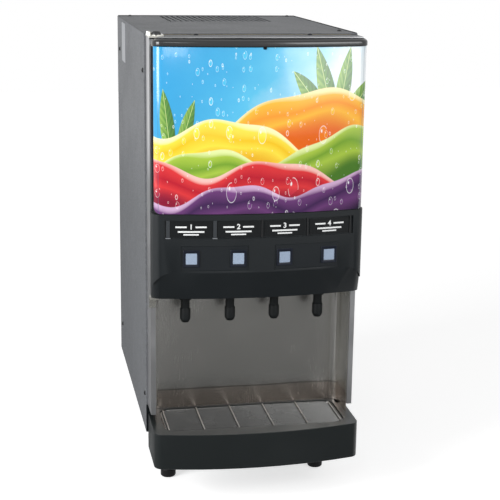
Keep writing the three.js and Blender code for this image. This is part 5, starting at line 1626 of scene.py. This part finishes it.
@dataclass
class CupBay:
    """Stainless cup bay with the deck and its nozzles."""

    def build(self) -> None:
        """Makes and dresses the bay's pieces."""
        rounded_copy("splash_panel", 0.0003, SPLASH_STEEL, join_flats=False)
        dress(("dispense_deck",), TANK_STEEL)
        for index in range(1, 5):
            rounded_copy(f"nozzle_{index}", 0.0012, NOZZLE_BLACK, f"nozzle_{index}", 3, 0.4)


@dataclass
class DripStation:
    """Drip tray and its wire grille."""

    wire_radius: float = 0.0012
    rim_radius: float = 0.0015
    half_width: float = 0.1640
    front_y: float = -0.2925
    rear_y: float = -0.1845
    corner: float = 0.020
    long_z: float = 0.1422
    cross_z: float = 0.1441
    long_wires: int = 22
    cross_places: tuple[float, ...] = (-0.1588, -0.0953, -0.0318, 0.0318, 0.0953, 0.1588)

    def build(self) -> None:
        """Makes and dresses the tray and the grille."""
        rounded_copy("drip_tray", 0.0016, TRAY_BLACK, "drip_tray", segments=3)
        middle, half_y = (self.front_y + self.rear_y) / 2, (self.rear_y - self.front_y) / 2
        rim = [(x, middle + y, self.long_z) for x, y in rounded_rectangle(self.half_width, half_y, self.corner, 8)]
        hoop = WIRES.make(
            "grille_rim", polylines("rim_line", [(rim, True)]), GRILLE_CHROME, wire_radius=self.rim_radius,
        )
        fit(hoop, None, "drip_grille", ("drip_grille",))
        lines: list[tuple[Sequence[Triple], bool]] = []
        crosses: list[tuple[Sequence[Triple], bool]] = []
        for index in range(1, self.long_wires + 1):
            y = self.front_y + 2 * half_y * index / (self.long_wires + 1)
            end = self.half_width - self.draw(min(y - self.front_y, self.rear_y - y))
            lines.append(([(-end, y, self.long_z), (end, y, self.long_z)], False))
        for x in self.cross_places:
            draw = self.draw(self.half_width - abs(x))
            crosses.append(([(x, self.front_y + draw, self.cross_z), (x, self.rear_y - draw, self.cross_z)], False))
        # The cross wires take the lighter chrome, a painted highlight.
        for name, paths, finish in (("wires", lines, GRILLE_CHROME), ("cross_wires", crosses, CROSS_CHROME_HIGHLIGHT)):
            wires = WIRES.make(
                "grille_" + name, polylines(name + "_lines", paths), finish, wire_radius=self.wire_radius,
            )
            fit(wires, None, "drip_grille", ("drip_grille",))

    def draw(self, distance: float) -> float:
        """Returns how far the rounded corner draws a wire's end in, at its distance from the rim."""
        reach = self.corner - distance
        return self.corner - math.sqrt(self.corner ** 2 - reach ** 2) if reach > 0 else 0.0


@dataclass
class Legs:
    """Four screw-in legs."""

    def build(self) -> None:
        """Dresses the legs."""
        for name in ("leg_front_left", "leg_front_right", "leg_rear_left", "leg_rear_right"):
            rounded_copy(name, 0.0012, LEG_BLACK, name, 3, 0.4)


@dataclass
class ColdCompartment:
    """White liner, foam and the four containers."""

    cap_y: float = -0.1695
    cap_radius: float = 0.0262
    cap_z: Pair = (0.7245, 0.7400)
    front_y: float = -0.2295
    label_z: Pair = (0.470, 0.560)
    label_half: float = 0.028

    def build(self) -> None:
        """Makes and dresses the compartment's pieces."""
        dress(("compartment_liner",), LINER_WHITE)
        dress(("cabinet_insulation",), FOAM)
        for index in range(1, 5):
            rounded_copy(
                f"concentrate_container_{index}", 0.0022, CONTAINER_WHITE, join_flats=False,
            )
        self.container_caps()
        self.container_labels()

    def places(self) -> list[float]:
        """Returns the middles of the containers across the compartment."""
        return [self.middle(f"concentrate_container_{index}") for index in range(1, 5)]

    def middle(self, node: str) -> float:
        """Returns the middle of a node's box across the object."""
        low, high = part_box(node)
        return (low[0] + high[0]) / 2

    def container_caps(self) -> None:
        """Adds ribbed blue bands round the containers' screw caps."""
        low, high = self.cap_z
        middle = (low + high) / 2
        points = [(x, self.cap_y, middle) for x in self.places()]
        ribs = RIBS.make(
            "cap_grip_ribs", points_mesh("cap_places", points), CAP_BLUE, count=40, radius=self.cap_radius + 0.0002,
            rib_radius=0.0009, height=high - low - 0.001,
        )
        fit(ribs, None)

    def container_labels(self) -> None:
        """Adds a bare paper label with two plain stripes to the front of each container."""
        (low, high), half = self.label_z, self.label_half
        papers, stripes = [], []
        for x in self.places():
            papers.append(box((x, self.front_y, (low + high) / 2), (half, 0.0003, (high - low) / 2), 0.0001))
            for z, reach in ((high - 0.016, 0.8), (high - 0.028, 0.55)):
                stripes.append(box((x, self.front_y, z), (half * reach, 0.0005, 0.003), 0.0001))
        fit(link("container_labels", joined("container_labels", papers)), FOIL_WHITE)
        fit(link("container_stripes", joined("container_stripes", stripes)), CAP_BLUE)


@dataclass
class CoolingUnit:
    """Water bath, compressor and condenser with its fan."""

    fin_pitch: float = 0.003
    compressor_axis: Pair = (-0.092, 0.1305)
    seam_radius: float = 0.074
    seam_z: float = 0.218
    board_front: float = 0.2903

    def build(self) -> None:
        """Makes and dresses the unit's pieces."""
        dress(("water_bath_tank", "water_bath_lid"), TANK_STEEL)
        dress(("evaporator_coil",), COPPER)
        dress(("agitator_motor", "fan_motor", "pump_drives"), MOTOR_STEEL)
        dress(("agitator_impeller", "condenser_fan", "fan_shroud"), BLACK_PLASTIC)
        dress(("compressor",), BLACK_ENAMEL)
        dress(("condenser",), FIN_ALUMINIUM)
        dress(("control_board",), BOARD_GREEN)
        self.fins()
        self.compressor_top()
        self.board_parts()

    def fins(self) -> None:
        """Adds the condenser's thin fins, which stand a little out of its core."""
        low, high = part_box("condenser")
        count = int((high[0] - low[0] - 0.006) / self.fin_pitch)
        middle_y, middle_z = (low[1] + high[1]) / 2, (low[2] + high[2]) / 2
        points = [(low[0] + 0.004 + step * self.fin_pitch, middle_y, middle_z) for step in range(count)]
        piece = PLATES.make(
            "condenser_fins", points_mesh("fin_places", points), FIN_ALUMINIUM, thickness=0.0004,
            depth=high[1] - low[1] + 0.0004, height=high[2] - low[2] - 0.012,
        )
        fit(piece, None)

    def compressor_top(self) -> None:
        """Adds the weld seam round the compressor's shell."""
        radius, z = self.seam_radius, self.seam_z
        profile = (
            (radius - 0.004, z - 0.003), (radius + 0.0006, z - 0.002),
            (radius + 0.0006, z + 0.002), (radius - 0.004, z + 0.003),
        )
        piece = link("compressor_seam", turned("weld_seam", profile, self.compressor_axis, 48))
        smoothed(piece.data, 0.7)
        fit(piece, BLACK_ENAMEL)

    def board_parts(self) -> None:
        """Makes the control board's relays and chip black, and adds its terminal blocks."""
        board = rounded_copy("control_board", 0.0003, BOARD_GREEN, join_flats=False)
        front = self.board_front
        repaint(board, CHIP_BLACK, lambda face: face.center.y < front - 0.0004)
        low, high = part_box("control_board")
        blocks = [
            box((x, front - 0.004, high[2] - 0.008), (0.0042, 0.0045, 0.0055), 0.0004)
            for x in (low[0] + 0.03 + step * 0.0098 for step in range(12))
        ]
        fit(link("board_terminals", joined("board_terminals", blocks)), CAP_BLUE)


def main() -> None:
    """Builds the studio and every sub-assembly in order."""
    logging.basicConfig(level=logging.INFO, format="%(name)s %(message)s")
    shell = Bar(Bow(0.1847, -0.3112, -0.2571, 0.860, 0.018), 0.5413, 0.8252)
    rail = Bar(Bow(0.1858, -0.3132, -0.2741, 0.862, 0.0192), 0.8255, 0.8380)
    face = Bow(0.1872, -0.3112, -0.2571, 0.860, 0.016)
    parts = (
        Studio(), Cabinet(), Door(shell, rail), OperatingPanel(face), CupBay(), DripStation(), Legs(),
        ColdCompartment(), CoolingUnit(),
    )
    for part in parts:
        part.build()


if __name__ == "__main__":
    main()
